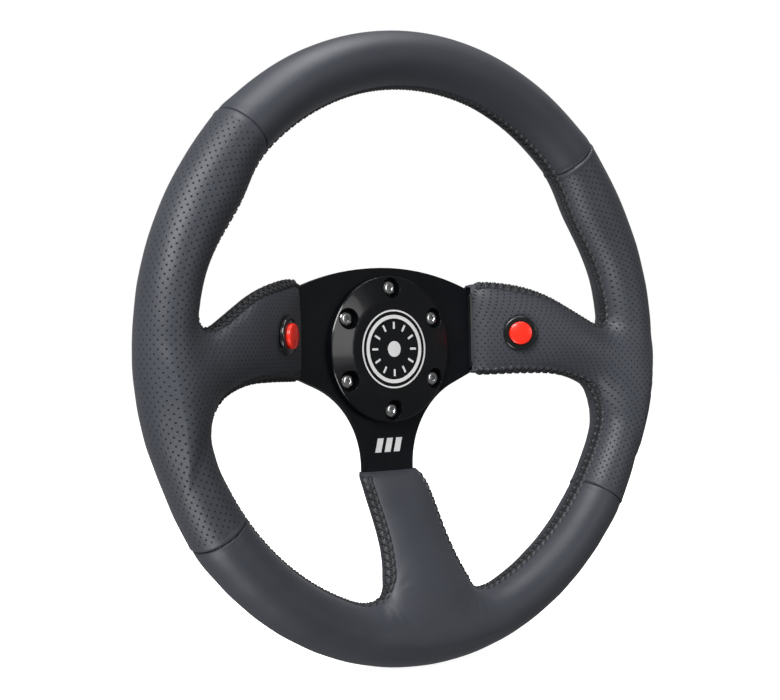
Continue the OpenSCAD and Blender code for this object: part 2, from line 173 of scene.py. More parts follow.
def put_in_place(points: Array, place: Matrix) -> Array:
    """Drawing points of shape (n, 3), turned and moved by a matrix."""
    return points @ np.array(place.to_3x3()).T + np.array(place.translation)


def unit(v: Array) -> Array:
    """Vectors of an (n, 3) array at length one."""
    return v / np.maximum(np.linalg.norm(v, axis=-1, keepdims=True), 1e-12)


def new_object(name: str, verts: Array, faces: list | Array, smooth: bool = True) -> bpy.types.Object:
    """Makes a mesh object at the origin from frame points.

    Args:
        name: Name of the piece.
        verts: Points in metres, of shape (n, 3).
        faces: Corner numbers of each face.
        smooth: Whether the faces shade smoothly.

    Returns:
        The new object, linked to the scene.
    """
    mesh = bpy.data.meshes.new(name)
    mesh.from_pydata(verts.tolist(), [], faces.tolist() if isinstance(faces, np.ndarray) else faces)
    mesh.polygons.foreach_set("use_smooth", np.full(len(mesh.polygons), smooth))
    mesh.update()
    piece = bpy.data.objects.new(name, mesh)
    bpy.context.scene.collection.objects.link(piece)
    return piece


def grid_faces(rows: int, cols: int, wrap_rows: bool = False, wrap_cols: bool = True) -> Array:
    """Quads of a grid whose points are numbered row by row.

    Args:
        rows: Number of rows of points.
        cols: Points in a row.
        wrap_rows: Whether the last row joins the first.
        wrap_cols: Whether the last column joins the first.

    Returns:
        Corner numbers of shape (faces, 4).
    """
    i = np.arange(rows if wrap_rows else rows - 1)[:, None]
    j = np.arange(cols if wrap_cols else cols - 1)[None, :]
    i2 = (i + 1) % rows
    j2 = (j + 1) % cols
    corners = (i * cols + j, i * cols + j2, i2 * cols + j2, i2 * cols + j)
    return np.stack(np.broadcast_arrays(*corners), axis=-1).reshape(-1, 4)


def read_points(mesh: bpy.types.Mesh) -> Array:
    """Vertex places of a mesh as an (n, 3) array.

    Args:
        mesh: The mesh.

    Returns:
        Places of its vertices, of shape (n, 3).
    """
    flat = np.empty(len(mesh.vertices) * 3)
    mesh.vertices.foreach_get("co", flat)
    return flat.reshape(-1, 3)


def write_points(mesh: bpy.types.Mesh, points: Array) -> None:
    """Puts an (n, 3) array back as a mesh's vertex places.

    Args:
        mesh: The mesh.
        points: New places, of shape (n, 3).
    """
    mesh.vertices.foreach_set("co", points.reshape(-1))
    mesh.update()


def face_outwards(piece: bpy.types.Object) -> None:
    """Merges doubled points and turns every face outwards.

    Args:
        piece: Piece whose mesh is changed.
    """
    bm = bmesh.new()
    bm.from_mesh(piece.data)
    bmesh.ops.remove_doubles(bm, verts=bm.verts, dist=1e-7)
    bmesh.ops.recalc_face_normals(bm, faces=bm.faces)
    bm.to_mesh(piece.data)
    bm.free()


def apply_modifiers(piece: bpy.types.Object) -> None:
    """Turns an object's modifiers into mesh.

    Args:
        piece: Piece whose mesh is changed.
    """
    depsgraph = bpy.context.evaluated_depsgraph_get()
    made = bpy.data.meshes.new_from_object(piece.evaluated_get(depsgraph))
    old = piece.data
    piece.modifiers.clear()
    made.name = old.name
    piece.data = made
    bpy.data.meshes.remove(old)


def sweep(path: Array, side: Array, up: Array, profile: Array) -> tuple[Array, Array]:
    """Carries a closed profile along a path: point (i, j) is path_i + u_ij side_i + v_ij up_i.

    Args:
        path: Points of the path, of shape (n, 3).
        side: Direction of the profile's first axis at each point, of shape (n, 3).
        up: Direction of its second axis, of shape (n, 3).
        profile: Profile at each point, of shape (n, m, 2).

    Returns:
        Points of shape (n * m, 3) and quads.
    """
    points = path[:, None, :] + profile[..., :1] * side[:, None, :] + profile[..., 1:] * up[:, None, :]
    return points.reshape(-1, 3), grid_faces(profile.shape[0], profile.shape[1])


def revolve(name: str, profile: Array, turns: int, place: Matrix, hollow: bool = False) -> bpy.types.Object:
    """Turns a profile of (radius, height) round its height axis.

    Args:
        name: Name of the piece.
        profile: Points of shape (m, 2), in millimetres, from the bottom up or all the way round.
        turns: Number of steps round the axis.
        place: Matrix that sets the shape in the drawing.
        hollow: Whether the profile is a closed ring clear of the axis.

    Returns:
        The object, in the frame. Point (i, j) is (r_i cos a_j, r_i sin a_j, h_i).
    """
    a = full_turn(turns)
    r, h = profile[:, :1], profile[:, 1:]
    points = np.stack([r * np.cos(a), r * np.sin(a), h + 0.0 * a], axis=-1).reshape(-1, 3)
    faces = grid_faces(len(profile), turns, wrap_rows=hollow).tolist()
    if not hollow:
        last = (len(profile) - 1) * turns
        faces.append(list(range(turns))[::-1])
        faces.append(list(range(last, last + turns)))
    piece = new_object(name, to_frame(put_in_place(points, place)), faces)
    face_outwards(piece)
    return piece


def with_edges(faces: list) -> list:
    """Faces of a bmesh with their edges and corners, as a cut through them needs."""
    return faces + list({e for f in faces for e in f.edges} | {v for f in faces for v in f.verts})


def set_sharp(piece: bpy.types.Object, angle: float = 35.0) -> None:
    """Keeps edges steeper than an angle in degrees sharp and shades the rest smoothly.

    Args:
        piece: Piece whose mesh is changed.
        angle: The angle.
    """
    bm = bmesh.new()
    bm.from_mesh(piece.data)
    limit = math.radians(angle)
    for edge in bm.edges:
        edge.smooth = len(edge.link_faces) == 2 and edge.calc_face_angle(0.0) < limit
    bm.to_mesh(piece.data)
    bm.free()


def arc_points(cx: float, cy: float, r: float, a0: float, a1: float, n: int) -> list[tuple[float, float]]:
    """Points along an arc, with its angles in degrees.

    Args:
        cx: Place of its middle along the first axis.
        cy: Place of its middle along the second axis.
        r: Radius.
        a0: Angle where it starts.
        a1: Angle where it ends.
        n: Number of points.

    Returns:
        Points (cx + r cos a, cy + r sin a).
    """
    angles = np.radians(np.linspace(a0, a1, n))
    return [(cx + r * math.cos(a), cy + r * math.sin(a)) for a in angles]


# ---------------------------------------------------------------------------------------------
# The form of the grip
# ---------------------------------------------------------------------------------------------


@dataclass(frozen=True)
class GripForm:
    """Outer surface of the leather, as a field that is negative inside and grows by about 1 a millimetre.

    The rim is an oval ring that swells at each thumb. Each spoke is a pillow whose section across the spoke
    is a rounded rectangle. The two meet over a rounded crotch. A spoke's front climbs steeply from its mouth
    and then more gently, its back is given at a few distances from the hub, and the lower spoke's front stays
    under the crest of the rim. The hem is how far the leather is tucked in at a mouth, and the shoulder is
    how far its front bends down there.
    """

    rim_r: float = 175.5
    grip_w: float = 30.7
    grip_half_depth: float = 17.8
    dish: float = 36.5
    thumb_at: float = 58.0
    thumb_swell: float = 5.1
    side_mouth: float = 61.5
    side_knee: float = 95.0
    side_slope: float = math.tan(math.radians(35.0))
    side_top: tuple[float, float, float] = (67.0, -46.0, 84.0)
    side_top_turn: float = 59.0
    side_low: float = -15.6
    side_flare_x: float = 98.0
    side_flare_r: float = 62.0
    low_mouth: float = 69.5
    low_half: float = 20.0
    low_flare_at: float = 98.0
    low_flare_r: float = 88.0
    crotch: float = 15.0
    low_crotch: float = 9.0
    side_lean: float = 0.065
    hem: float = 1.1
    hem_run: float = 1.2
    shoulder: float = 3.6
    shoulder_run: float = 3.0
    tube_r: float = 16.4
    spoke_end: float = 160.0
    under_crest: float = 1.0
    side_front: tuple[float, float, float] = (12.0, 35.4, 0.32)
    side_back_x: tuple[float, ...] = (65.0, 84.0, 131.0, 152.0)
    side_back_z: tuple[float, ...] = (-2.2, -2.0, 7.6, 20.0, 20.5)
    low_front: tuple[float, float] = (11.6, 0.85)
    low_front_far: tuple[float, float, float] = (19.4, 0.56, 80.0)
    low_back_r: tuple[float, ...] = (73.0, 84.0, 110.0, 131.0)
    low_back_z: tuple[float, ...] = (-2.2, -2.0, 3.4, 16.5, 24.5)
    low_widening: float = 1.8

    def rim_radii(self, x: Array, y: Array) -> tuple[Array, Array]:
        """Inside and outside radius of the rim in the direction of (x, y).

        Args:
            x: Across.
            y: Up.

        Returns:
            Inner radius and outer radius.
        """
        t = np.degrees(np.arctan2(np.abs(x), y))
        inner = self.rim_r - self.grip_w - bump(t, self.thumb_at, self.thumb_swell, 8.4, 11.5)
        inner = inner - bump(t, 100.0, 1.2, 7.0, 7.0) + bump(t, 112.0, 0.7, 6.0, 6.0)
        outer = self.rim_r - bump(t, 112.0, 1.5, 7.0, 7.0) + bump(t, 44.5, 0.7, 2.4, 4.0)
        outer = outer + bump(t, 126.5, 0.5, 3.0, 3.0)
        return inner, outer

    def rim(self, p: Array) -> Array:
        """Distance from the rim's oval tube: k1 (k1 - 1) / k2 with k1 = |q / r| and k2 = |q / r^2|.

        Args:
            p: Drawing points of shape (n, 3).

        Returns:
            The field at each point.
        """
        rho = np.hypot(p[:, 0], p[:, 1])
        inner, outer = self.rim_radii(p[:, 0], p[:, 1])
        a = (outer - inner) / 2.0
        b = self.grip_half_depth + 0.1 * (a - self.grip_w / 2.0)
        q0 = rho - (inner + outer) / 2.0
        q1 = p[:, 2] - self.dish
        k1 = np.sqrt((q0 / a) ** 2 + (q1 / b) ** 2)
        k2 = np.sqrt((q0 / a**2) ** 2 + (q1 / b**2) ** 2)
        return k1 * (k1 - 1.0) / np.maximum(k2, 1e-6)

    def side_edges(self, x: Array) -> tuple[Array, Array]:
        """Top and bottom edge of a side spoke at a distance x from the middle of the wheel.

        Args:
            x: Distances from the middle of the wheel.

        Returns:
            Heights y of the top edge and of the bottom edge. The top is an arc and then its tangent, and the
            bottom is straight and then an arc that flares to the rim.
        """
        cx, cy, r = self.side_top
        turn = math.radians(self.side_top_turn)
        turn_x = cx + r * math.cos(turn)
        crown = cy + np.sqrt(np.maximum(r**2 - (np.minimum(x, turn_x) - cx) ** 2, 1.0))
        top = crown - np.maximum(x - turn_x, 0.0) / math.tan(turn)
        run = np.clip(x - self.side_flare_x, 0.0, self.side_flare_r - 1.0)
        bottom = self.side_low - (self.side_flare_r - np.sqrt(self.side_flare_r**2 - run**2))
        return top, bottom

    def side_faces(self, x: Array) -> tuple[Array, Array]:
        """Front and back height of a side spoke: both rise from the hub plate to the rim.

        Args:
            x: Distances from the middle of the wheel.

        Returns:
            Heights z of the front and of the back.
        """
        at_mouth, at_knee, far_slope = self.side_front
        steep = at_mouth + self.side_slope * (x - self.side_mouth)
        gentle = at_knee + far_slope * (x - self.side_knee)
        drop = self.fade(x - self.side_mouth, self.shoulder, self.shoulder_run)
        front = smooth_min(steep, gentle, 7.0) - drop
        back = np.interp(x, (self.side_mouth, *self.side_back_x), self.side_back_z)
        return front, back

    @staticmethod
    def fade(run: Array, size: float, over: float) -> Array:
        """Height that falls from size at a spoke's mouth as exp(-run / over)."""
        return size * np.exp(-np.maximum(run, 0.0) / over)

    def mouths(self) -> list[tuple[Vector, float]]:
        """Direction of each spoke from the hub and the distance of its open end."""
        sides = [(Vector((side.value, 0.0, 0.0)), self.side_mouth) for side in Side]
        return sides + [(Vector((0.0, -1.0, 0.0)), self.low_mouth)]

    def side_mid(self, x: Array) -> Array:
        """Height of the seams along a side spoke: the middle between its faces."""
        front, back = self.side_faces(x)
        return (front + back) / 2.0

    def low_sides(self, r: Array) -> Array:
        """Half width of the lower spoke at a distance r below the hub.

        Args:
            r: Distances below the hub.

        Returns:
            Half widths: a neck that widens slowly and then an arc that flares to the rim.
        """
        length = self.low_flare_at - self.low_mouth
        straight = self.low_half + self.low_widening * (r - self.low_mouth) / length
        run = np.clip(r - self.low_flare_at, 0.0, self.low_flare_r - 1.0)
        neck = np.minimum(straight, self.low_half + self.low_widening)
        return neck + self.low_flare_r - np.sqrt(self.low_flare_r**2 - run**2)

    def low_faces(self, r: Array) -> tuple[Array, Array]:
        """Front and back height of the lower spoke.

        Args:
            r: Distances below the hub.

        Returns:
            Heights z of the front and of the back.
        """
        at_mouth, slope = self.low_front
        at_far, far_slope, far_r = self.low_front_far
        front = smooth_min(at_mouth + slope * (r - self.low_mouth), at_far + far_slope * (r - far_r), 6.0)
        front = smooth_min(front, self.dish + self.grip_half_depth - self.under_crest, 6.0)
        front = front - self.fade(r - self.low_mouth, self.shoulder, self.shoulder_run)
        back = np.interp(r, (self.low_mouth, *self.low_back_r), self.low_back_z)
        return front, back

    def low_mid(self, r: Array) -> Array:
        """Height of the seams along the lower spoke."""
        front, back = self.low_faces(r)
        return (front + back) / 2.0

    @staticmethod
    def pillow(v: Array, w: Array, n: Array) -> Array:
        """Rounded rectangle of |v|^n + |w|^n = 1, less one."""
        return (np.abs(v) ** n + np.abs(w) ** n) ** (1.0 / n) - 1.0

    def side_spoke(self, p: Array) -> Array:
        """Distance from the side spokes, which mirror each other.

        Args:
            p: Drawing points of shape (n, 3).

        Returns:
            The field at each point: a pillow across the spoke, cut off under the rim.
        """
        x = np.abs(p[:, 0])
        top, bottom = self.side_edges(x)
        front, back = self.side_faces(x)
        tuck = self.fade(x - self.side_mouth, self.hem, self.hem_run)
        half_y = np.maximum((top - bottom) / 2.0 - tuck * 0.6, 4.0)
        half_z = np.maximum((front - back) / 2.0 - tuck * 0.7, 3.0)
        n = 3.3 - 1.0 * smooth_step(self.side_mouth, 92.0, x)
        w = (p[:, 2] - (front + back) / 2.0) / half_z
        half_y = half_y * (1.0 - self.side_lean * np.clip(w, -1.0, 1.0) * smooth_step(66.0, 84.0, x))
        v = (p[:, 1] - (top + bottom) / 2.0) / half_y
        body = self.pillow(v, w, n) * half_z
        return np.maximum(body, np.hypot(p[:, 0], p[:, 1]) - self.spoke_end)

    def low_spoke(self, p: Array) -> Array:
        """Distance from the lower spoke.

        Args:
            p: Drawing points of shape (n, 3).

        Returns:
            The field at each point: a pillow across the spoke, cut off under the rim.
        """
        r = -p[:, 1]
        front, back = self.low_faces(r)
        tuck = self.fade(r - self.low_mouth, self.hem, self.hem_run)
        half_x = self.low_sides(r) - tuck * 0.6
        half_z = (front - back) / 2.0 - tuck * 0.7
        n = 3.3 - 0.9 * smooth_step(self.low_mouth, 100.0, r)
        body = self.pillow(p[:, 0] / half_x, (p[:, 2] - (front + back) / 2.0) / half_z, n)
        return np.maximum(body * np.minimum(half_z, half_x), np.hypot(p[:, 0], p[:, 1]) - self.spoke_end)

    def distance(self, p: Array) -> Array:
        """Distance from the leather's outer surface.

        Args:
            p: Drawing points of shape (n, 3).

        Returns:
            The field at each point: the rim and the spokes joined by smooth_min.
        """
        rim = self.rim(p)
        x, y = np.abs(p[:, 0]), p[:, 1]
        side = np.where((x > 50.0) & (y > -90.0) & (y < 60.0), self.side_spoke(p), 1e3)
        low = np.where((y < -58.0) & (x < 90.0), self.low_spoke(p), 1e3)
        return np.minimum(smooth_min(rim, side, self.crotch), smooth_min(rim, low, self.low_crotch))

    def slope(self, p: Array) -> Array:
        """Gradient of the field by central differences of a twentieth of a millimetre.

        Args:
            p: Drawing points of shape (n, 3).

        Returns:
            Gradients of shape (n, 3).
        """
        step = 0.05
        axes = np.eye(3) * step
        return np.stack([self.distance(p + a) - self.distance(p - a) for a in axes], axis=1) / (2.0 * step)

    def settle(self, p: Array, depth: Array | float = 0.0, rounds: int = 6) -> Array:
        """Moves points onto the surface that lies depth under the leather's outside.

        Args:
            p: Drawing points near the surface.
            depth: Depth under the surface.
            rounds: Steps of p - (f + depth) g / |g|^2, each held under 2 mm.

        Returns:
            The moved points.
        """
        for _ in range(rounds):
            g = self.slope(p)
            size = np.maximum(np.sum(g * g, axis=1), 1e-3)
            move = (self.distance(p) + depth)[:, None] * g / size[:, None]
            far = np.maximum(np.linalg.norm(move, axis=1, keepdims=True) / 2.0, 1.0)
            p = p - move / far
        return p

    def rough_surface(self, around: int = 40, along: int = 40, reach_r: float = 156.0) -> tuple[Array, list]:
        """Closed ring and pillows near the surface, to be joined into one skin.

        Args:
            around: Points round the tube and round a pillow.
            along: Points along a pillow.
            reach_r: How far from the hub a pillow reaches into the ring.

        Returns:
            Drawing points and faces. The ring's point (i, j) lies at angle a_i round the wheel and b_j round
            the tube; a pillow's lies at x_i along the spoke and b_j round it.
        """
        a = np.linspace(0.0, 2.0 * np.pi, 361)[:-1]
        b = np.linspace(0.0, 2.0 * np.pi, around + 1)[:-1]
        inner, outer = self.rim_radii(np.cos(a), np.sin(a))
        rho = (inner + outer)[:, None] / 2.0 + (outer - inner)[:, None] / 2.0 * np.cos(b)
        ring = np.stack([rho * np.cos(a)[:, None], rho * np.sin(a)[:, None],
                         self.dish + self.grip_half_depth * np.sin(b) + 0.0 * rho], axis=-1).reshape(-1, 3)
        faces = grid_faces(len(a), len(b), wrap_rows=True).tolist()
        points = [ring]
        count = len(ring)
        power = 0.7
        cos_b = np.sign(np.cos(b)) * np.abs(np.cos(b)) ** power
        sin_b = np.sign(np.sin(b)) * np.abs(np.sin(b)) ** power
        reach = np.linspace(0.0, 1.0, along)[:, None]
        for kind in (Side.LEFT.value, Side.RIGHT.value, 0):
            if kind:
                x = self.side_mouth - 3.0 + reach * (reach_r - self.side_mouth)
                top, bottom = self.side_edges(x)
                front, back = self.side_faces(x)
                y = (top + bottom) / 2.0 + (top - bottom) / 2.0 * cos_b
                z = (front + back) / 2.0 + (front - back) / 2.0 * sin_b
                pad = np.stack([kind * (x + 0.0 * y), y, z], axis=-1).reshape(-1, 3)
            else:
                r = self.low_mouth - 3.0 + reach * (reach_r - self.low_mouth)
                front, back = self.low_faces(r)
                z = (front + back) / 2.0 + (front - back) / 2.0 * sin_b
                pad = np.stack([self.low_sides(r) * cos_b, -r + 0.0 * z, z], axis=-1).reshape(-1, 3)
            last = count + (along - 1) * len(b)
            faces += (grid_faces(along, len(b)) + count).tolist()
            faces.append(list(range(count, count + len(b))))
            faces.append(list(range(last, last + len(b)))[::-1])
            points.append(pad)
            count += len(pad)
        return np.concatenate(points), faces


@dataclass(frozen=True)
class Panels:
    """Where the leather panels meet, in degrees from the top of the wheel."""

    upper: float = 45.5
    lower: float = 124.5
    groove: float = 1.0
    groove_w: float = 0.5
    lip: float = 0.28
    cuts: tuple[float, ...] = (-3.2, -1.9, -1.1, -0.55, 0.0, 0.55, 1.1, 1.9, 3.2)

    def seams(self) -> list[tuple[Side, float]]:
        """Every seam as its side and its angle."""
        return [(side, angle) for side in Side for angle in (self.upper, self.lower)]

    def past_seam(self, p: Array, side: Side, angle: float) -> Array:
        """Distance of points past a seam's plane, counted towards the bottom of the wheel.

        Args:
            p: Drawing points.
            side: The seam's side.
            angle: The seam's angle.

        Returns:
            Signed distance in millimetres.
        """
        t = math.radians(angle)
        return p[:, 0] * side.value * math.cos(t) - p[:, 1] * math.sin(t)

    def name_of(self, p: Array) -> Array:
        """Number of the panel that each point lies in: 0 upper, 1 left, 2 right, 3 lower.

        Args:
            p: Drawing points of shape (n, 3).

        Returns:
            Panel numbers of shape (n,).
        """
        t = np.degrees(np.arctan2(np.abs(p[:, 0]), p[:, 1]))
        side = np.where(p[:, 0] < 0.0, 1, 2)
        return np.where(t < self.upper, 0, np.where(t > self.lower, 3, side))


@dataclass(frozen=True)
class ButtonSeat:
    """Where a push button sits in a side spoke: its bezel's middle and its tilt towards the hub."""

    x: float = 81.0
    y: float = 7.9
    z: float = 28.6
    tilt: float = math.radians(35.0)
    front_hole_r: float = 8.6
    pocket_r: float = 11.9
    front_depth: float = 6.0
    pocket_depth: float = 8.0
    reach: float = 40.0

    def axis(self, side: Side) -> Array:
        """Direction that the button faces, as a drawing vector."""
        return np.array([-side.value * math.sin(self.tilt), 0.0, math.cos(self.tilt)])

    def centre(self, side: Side) -> Array:
        """Middle of the bezel's face."""
        return np.array([side.value * self.x, self.y, self.z])

    def place(self, side: Side) -> Matrix:
        """Matrix that sets a shape drawn round z, with the bezel face at zero, in its seat."""
        turn = Matrix.Rotation(-side.value * self.tilt, 4, "Y")
        return Matrix.Translation(Vector(self.centre(side))) @ turn

    def on_face(self, height: Array, front: bool) -> Array:
        """Whether points at these heights lie on the spoke's front, or else on its back."""
        if front:
            return height > -self.front_depth
        return (height < -self.pocket_depth) & (height > -self.reach)

    def depth_and_radius(self, p: Array, side: Side) -> tuple[Array, Array, Array]:
        """Height of points over the bezel's face, their distance from the axis, and the vector from it.

        Args:
            p: Drawing points.
            side: Side of the button.

        Returns:
            Heights, distances and radial vectors.
        """
        rel = p - self.centre(side)
        n = self.axis(side)
        height = rel @ n
        out = rel - height[:, None] * n
        return height, np.linalg.norm(out, axis=1), out


@dataclass
class GripSkin:
    """Leather of the wheel: one skin over rim and spokes, cut into four panels with folded seams.

    hub_zone gives the least distance out along a spoke and the greatest distance from the hub of the faces at
    a spoke's mouth. fans gives each crotch's x and y, the number of its gathers and their height.
    """

    form: GripForm
    panels: Panels
    seat: ButtonSeat
    voxel: float = 1.9
    leather_t: float = 1.2
    rim_from: float = 100.0
    hub_zone: tuple[float, float] = (50.0, 90.0)
    mouth_cuts: tuple[float, ...] = (2.4, 1.2, 0.5, 0.0)
    cut_snap: float = 1e-4
    foam_voxel: float = 3.2
    foam_gap: float = 0.25
    foam_back: float = 1.0
    drill_from: float = 6.0
    pocket_from: float = -9.0
    hide_r: float = 155.0
    slope_near: float = 1.15
    slope_far: float = 1.4
    slope_turn: float = 25.0
    seam_margin: tuple[float, float] = (3.6, 4.2)
    lace_margin: tuple[float, float] = (5.2, 5.8)
    fans: tuple[tuple[float, ...], ...] = (
        (133.0, 11.0, 15.0, 0.16), (139.0, -35.0, 13.0, 0.1), (29.0, -133.0, 13.0, 0.13))

    def remeshed(self, name: str, voxel: float) -> bpy.types.Object:
        """Joins the rough ring and pillows into one even skin.

        Args:
            name: Name of the piece.
            voxel: Mesh width in millimetres.

        Returns:
            The object, in drawing millimetres.
        """
        points, faces = self.form.rough_surface()
        piece = new_object(name, points, faces)
        face_outwards(piece)
        remesh = piece.modifiers.new("skin", "REMESH")
        remesh.mode = "VOXEL"
        remesh.voxel_size = voxel
        remesh.use_smooth_shade = True
        apply_modifiers(piece)
        return piece

    def relax(self, piece: bpy.types.Object, depth: float, rounds: int) -> None:
        """Evens out the skin and settles it: each round moves a point halfway to its neighbours' mean.

        Args:
            piece: Skin in drawing millimetres.
            depth: Depth of the surface it settles on.
            rounds: Number of rounds.
        """
        mesh = piece.data
        edges = np.empty(len(mesh.edges) * 2, dtype=np.int64)
        mesh.edges.foreach_get("vertices", edges)
        edges = edges.reshape(-1, 2)
        ends = np.concatenate([edges, edges[:, ::-1]])
        count = np.bincount(ends[:, 0], minlength=len(mesh.vertices))[:, None]
        p = self.form.settle(read_points(mesh), depth)
        for _ in range(rounds):
            total = np.stack([np.bincount(ends[:, 0], p[ends[:, 1], k], len(p)) for k in range(3)], axis=1)
            p = self.form.settle(p * 0.5 + 0.5 * total / np.maximum(count, 1), depth, 2)
        write_points(mesh, p)

    def cut(self, piece: bpy.types.Object) -> None:
        """Lays rings of edges along the seams, opens the spokes' mouths and cuts the button holes.

        Args:
            piece: Skin in drawing millimetres.
        """
        bm = bmesh.new()
        bm.from_mesh(piece.data)
        for side, angle in self.panels.seams():
            t = math.radians(angle)
            normal = Vector((side.value * math.cos(t), -math.sin(t), 0.0))
            out = Vector((side.value * math.sin(t), math.cos(t), 0.0))
            for offset in self.panels.cuts:
                near = [f for f in bm.faces if f.calc_center_median().dot(out) > self.rim_from
                        and abs(f.calc_center_median().dot(normal) - offset) < 6.0]
                bmesh.ops.bisect_plane(bm, geom=with_edges(near), plane_co=normal * offset, plane_no=normal,
                                       dist=self.cut_snap)
        for n, reach in self.form.mouths():
            for offset in self.mouth_cuts:
                near = [f for f in bm.faces if abs(f.calc_center_median().dot(n) - reach) < 9.0
                        and f.calc_center_median().length < self.hub_zone[1]]
                bmesh.ops.bisect_plane(bm, geom=with_edges(near), plane_co=n * (reach + offset), plane_no=n,
                                       dist=self.cut_snap)
            gone = [f for f in bm.faces if self.hub_zone[0] < f.calc_center_median().dot(n) < reach
                    and f.calc_center_median().length < self.hub_zone[1]]
            bmesh.ops.delete(bm, geom=gone, context="FACES")
        bm.to_mesh(piece.data)
        bm.free()
        self.open_holes(piece)

    def open_holes(self, piece: bpy.types.Object) -> None:
        """Cuts each button's front hole and rear pocket, and draws their edges onto true circles.

        Args:
            piece: Skin in drawing millimetres.
        """
        for side in Side:
            for radius, front in ((self.seat.front_hole_r, True), (self.seat.pocket_r, False)):
                p = read_points(piece.data)
                height, out, _ = self.seat.depth_and_radius(p, side)
                near = self.seat.on_face(height, front)
                inside = near & (out < radius)
                bm = bmesh.new()
                bm.from_mesh(piece.data)
                bm.verts.ensure_lookup_table()
                gone = [bm.verts[i] for i in np.flatnonzero(inside)]
                bmesh.ops.delete(bm, geom=gone, context="VERTS")
                bm.verts.index_update()
                edge = np.array([v.index for v in bm.verts if v.is_boundary])
                bm.to_mesh(piece.data)
                bm.free()
                p = read_points(piece.data)
                height, out, vec = self.seat.depth_and_radius(p, side)
                close = np.zeros(len(p), dtype=bool)
                close[edge] = True
                close &= self.seat.on_face(height, front) & (out < radius + 4.0)
                p[close] += vec[close] * ((radius / out[close] - 1.0)[:, None])
                write_points(piece.data, p)

    def seam_relief(self, p: Array) -> Array:
        """Height of the folded seams over the plain skin.

        Args:
            p: Drawing points on the skin.

        Returns:
            Height in millimetres: a narrow groove at each seam and a soft fold on the side panels' edge.
        """
        height = np.zeros(len(p))
        for side, angle in self.panels.seams():
            d = self.panels.past_seam(p, side, angle)
            t = math.radians(angle)
            here = (p[:, 0] * side.value * math.sin(t) + p[:, 1] * math.cos(t)) > 60.0
            inward = d if angle < 90.0 else -d
            fold = self.panels.lip * np.exp(-(((inward - 1.5) / 1.0) ** 2))
            tight = -0.22 * np.exp(-(((inward + 1.9) / 1.5) ** 2))
            groove = -self.panels.groove * np.exp(-((d / self.panels.groove_w) ** 2))
            height += np.where(here, fold + tight + groove, 0.0)
        return height

    def wrinkles(self, p: Array) -> Array:
        """Slight unevenness of hand-stretched leather, with gathers that fan out of the crotches.

        Args:
            p: Drawing points on the skin.

        Returns:
            Heights: slow waves, and sin(count a) round each crotch that fades with the distance from it.
        """
        x, y, z = np.abs(p[:, 0]), p[:, 1], p[:, 2]
        uneven = 0.07 * np.sin(x * 0.11 + 1.3) * np.sin(y * 0.13 + z * 0.09)
        uneven = uneven + 0.05 * np.sin(y * 0.31 + x * 0.17)
        fan = np.zeros(len(p))
        for cx, cy, count, size in self.fans:
            away = np.hypot(x - cx, y - cy)
            angle = np.arctan2(y - cy, x - cx)
            fan += size * np.sin(count * angle + 0.2 * z) * np.exp(-(((away - 9.0) / 8.0) ** 2))
        return uneven + fan

    def hide_map(self, p: Array) -> Array:
        """Coordinates of the leather and where it is perforated.

        Args:
            p: Drawing points on the skin.

        Returns:
            Array (n, 3): along the rim, across it, and 1 where the leather is perforated. On the rim the
            second is its radius times the angle round it; from the crest of the rim inwards along a spoke it
            grows by slope_near and later by slope_far for each millimetre, as the spoke slopes.
        """
        form = self.form
        x, y, z = np.abs(p[:, 0]), p[:, 1], p[:, 2]
        rho = np.hypot(x, y)
        inner, outer = form.rim_radii(p[:, 0], y)
        centre = (inner + outer) / 2.0
        around = form.tube_r * np.abs(np.arctan2(z - form.dish, rho - centre))
        on_spoke = smooth_step(0.0, 9.0, form.rim(p))
        along = (1.0 - on_spoke) * self.hide_r * np.arctan2(y, x) + on_spoke * y
        inwards = np.maximum(centre - rho, 0.0)
        down = form.tube_r * math.pi / 2.0 + self.slope_near * np.minimum(inwards, self.slope_turn)
        down = down + self.slope_far * np.maximum(inwards - self.slope_turn, 0.0)
        near_spoke = np.maximum(smooth_step(62.0, 34.0, np.abs(y)), on_spoke) * (rho < centre)
        across = (1.0 - near_spoke) * around + near_spoke * down
        t = np.degrees(np.arctan2(x, y))
        from_seam = np.minimum(t - self.panels.upper, self.panels.lower - t) * rho * math.pi / 180.0
        clear_of_lace = smooth_step(*self.lace_margin, self.from_lacing(p))
        holes = smooth_step(*self.seam_margin, from_seam) * clear_of_lace
        return np.stack([along, across, holes], axis=1)

    def from_lacing(self, p: Array) -> Array:
        """Rough distance over the skin from the lacing that runs round each opening of the wheel.

        Args:
            p: Drawing points on the skin.

        Returns:
            Distances in millimetres, which turn from those on the rim to those on a spoke.
        """
        form = self.form
        x, y, z = np.abs(p[:, 0]), p[:, 1], p[:, 2]
        inner, outer = form.rim_radii(p[:, 0], y)
        rho = np.hypot(x, y)
        around = np.abs(np.arctan2(z - form.dish, rho - (inner + outer) / 2.0))
        on_rim = form.tube_r * (math.pi - around)
        top, bottom = form.side_edges(x)
        front, back = form.side_faces(x)
        lift = np.abs(z - (front + back) / 2.0)
        on_side = np.minimum(np.abs(y - top), np.abs(y - bottom)) + lift * 0.75
        spoke = smooth_step(0.0, 7.0, form.rim(p))
        return (1.0 - spoke) * on_rim + spoke * np.where(y > -60.0, on_side, 99.0)

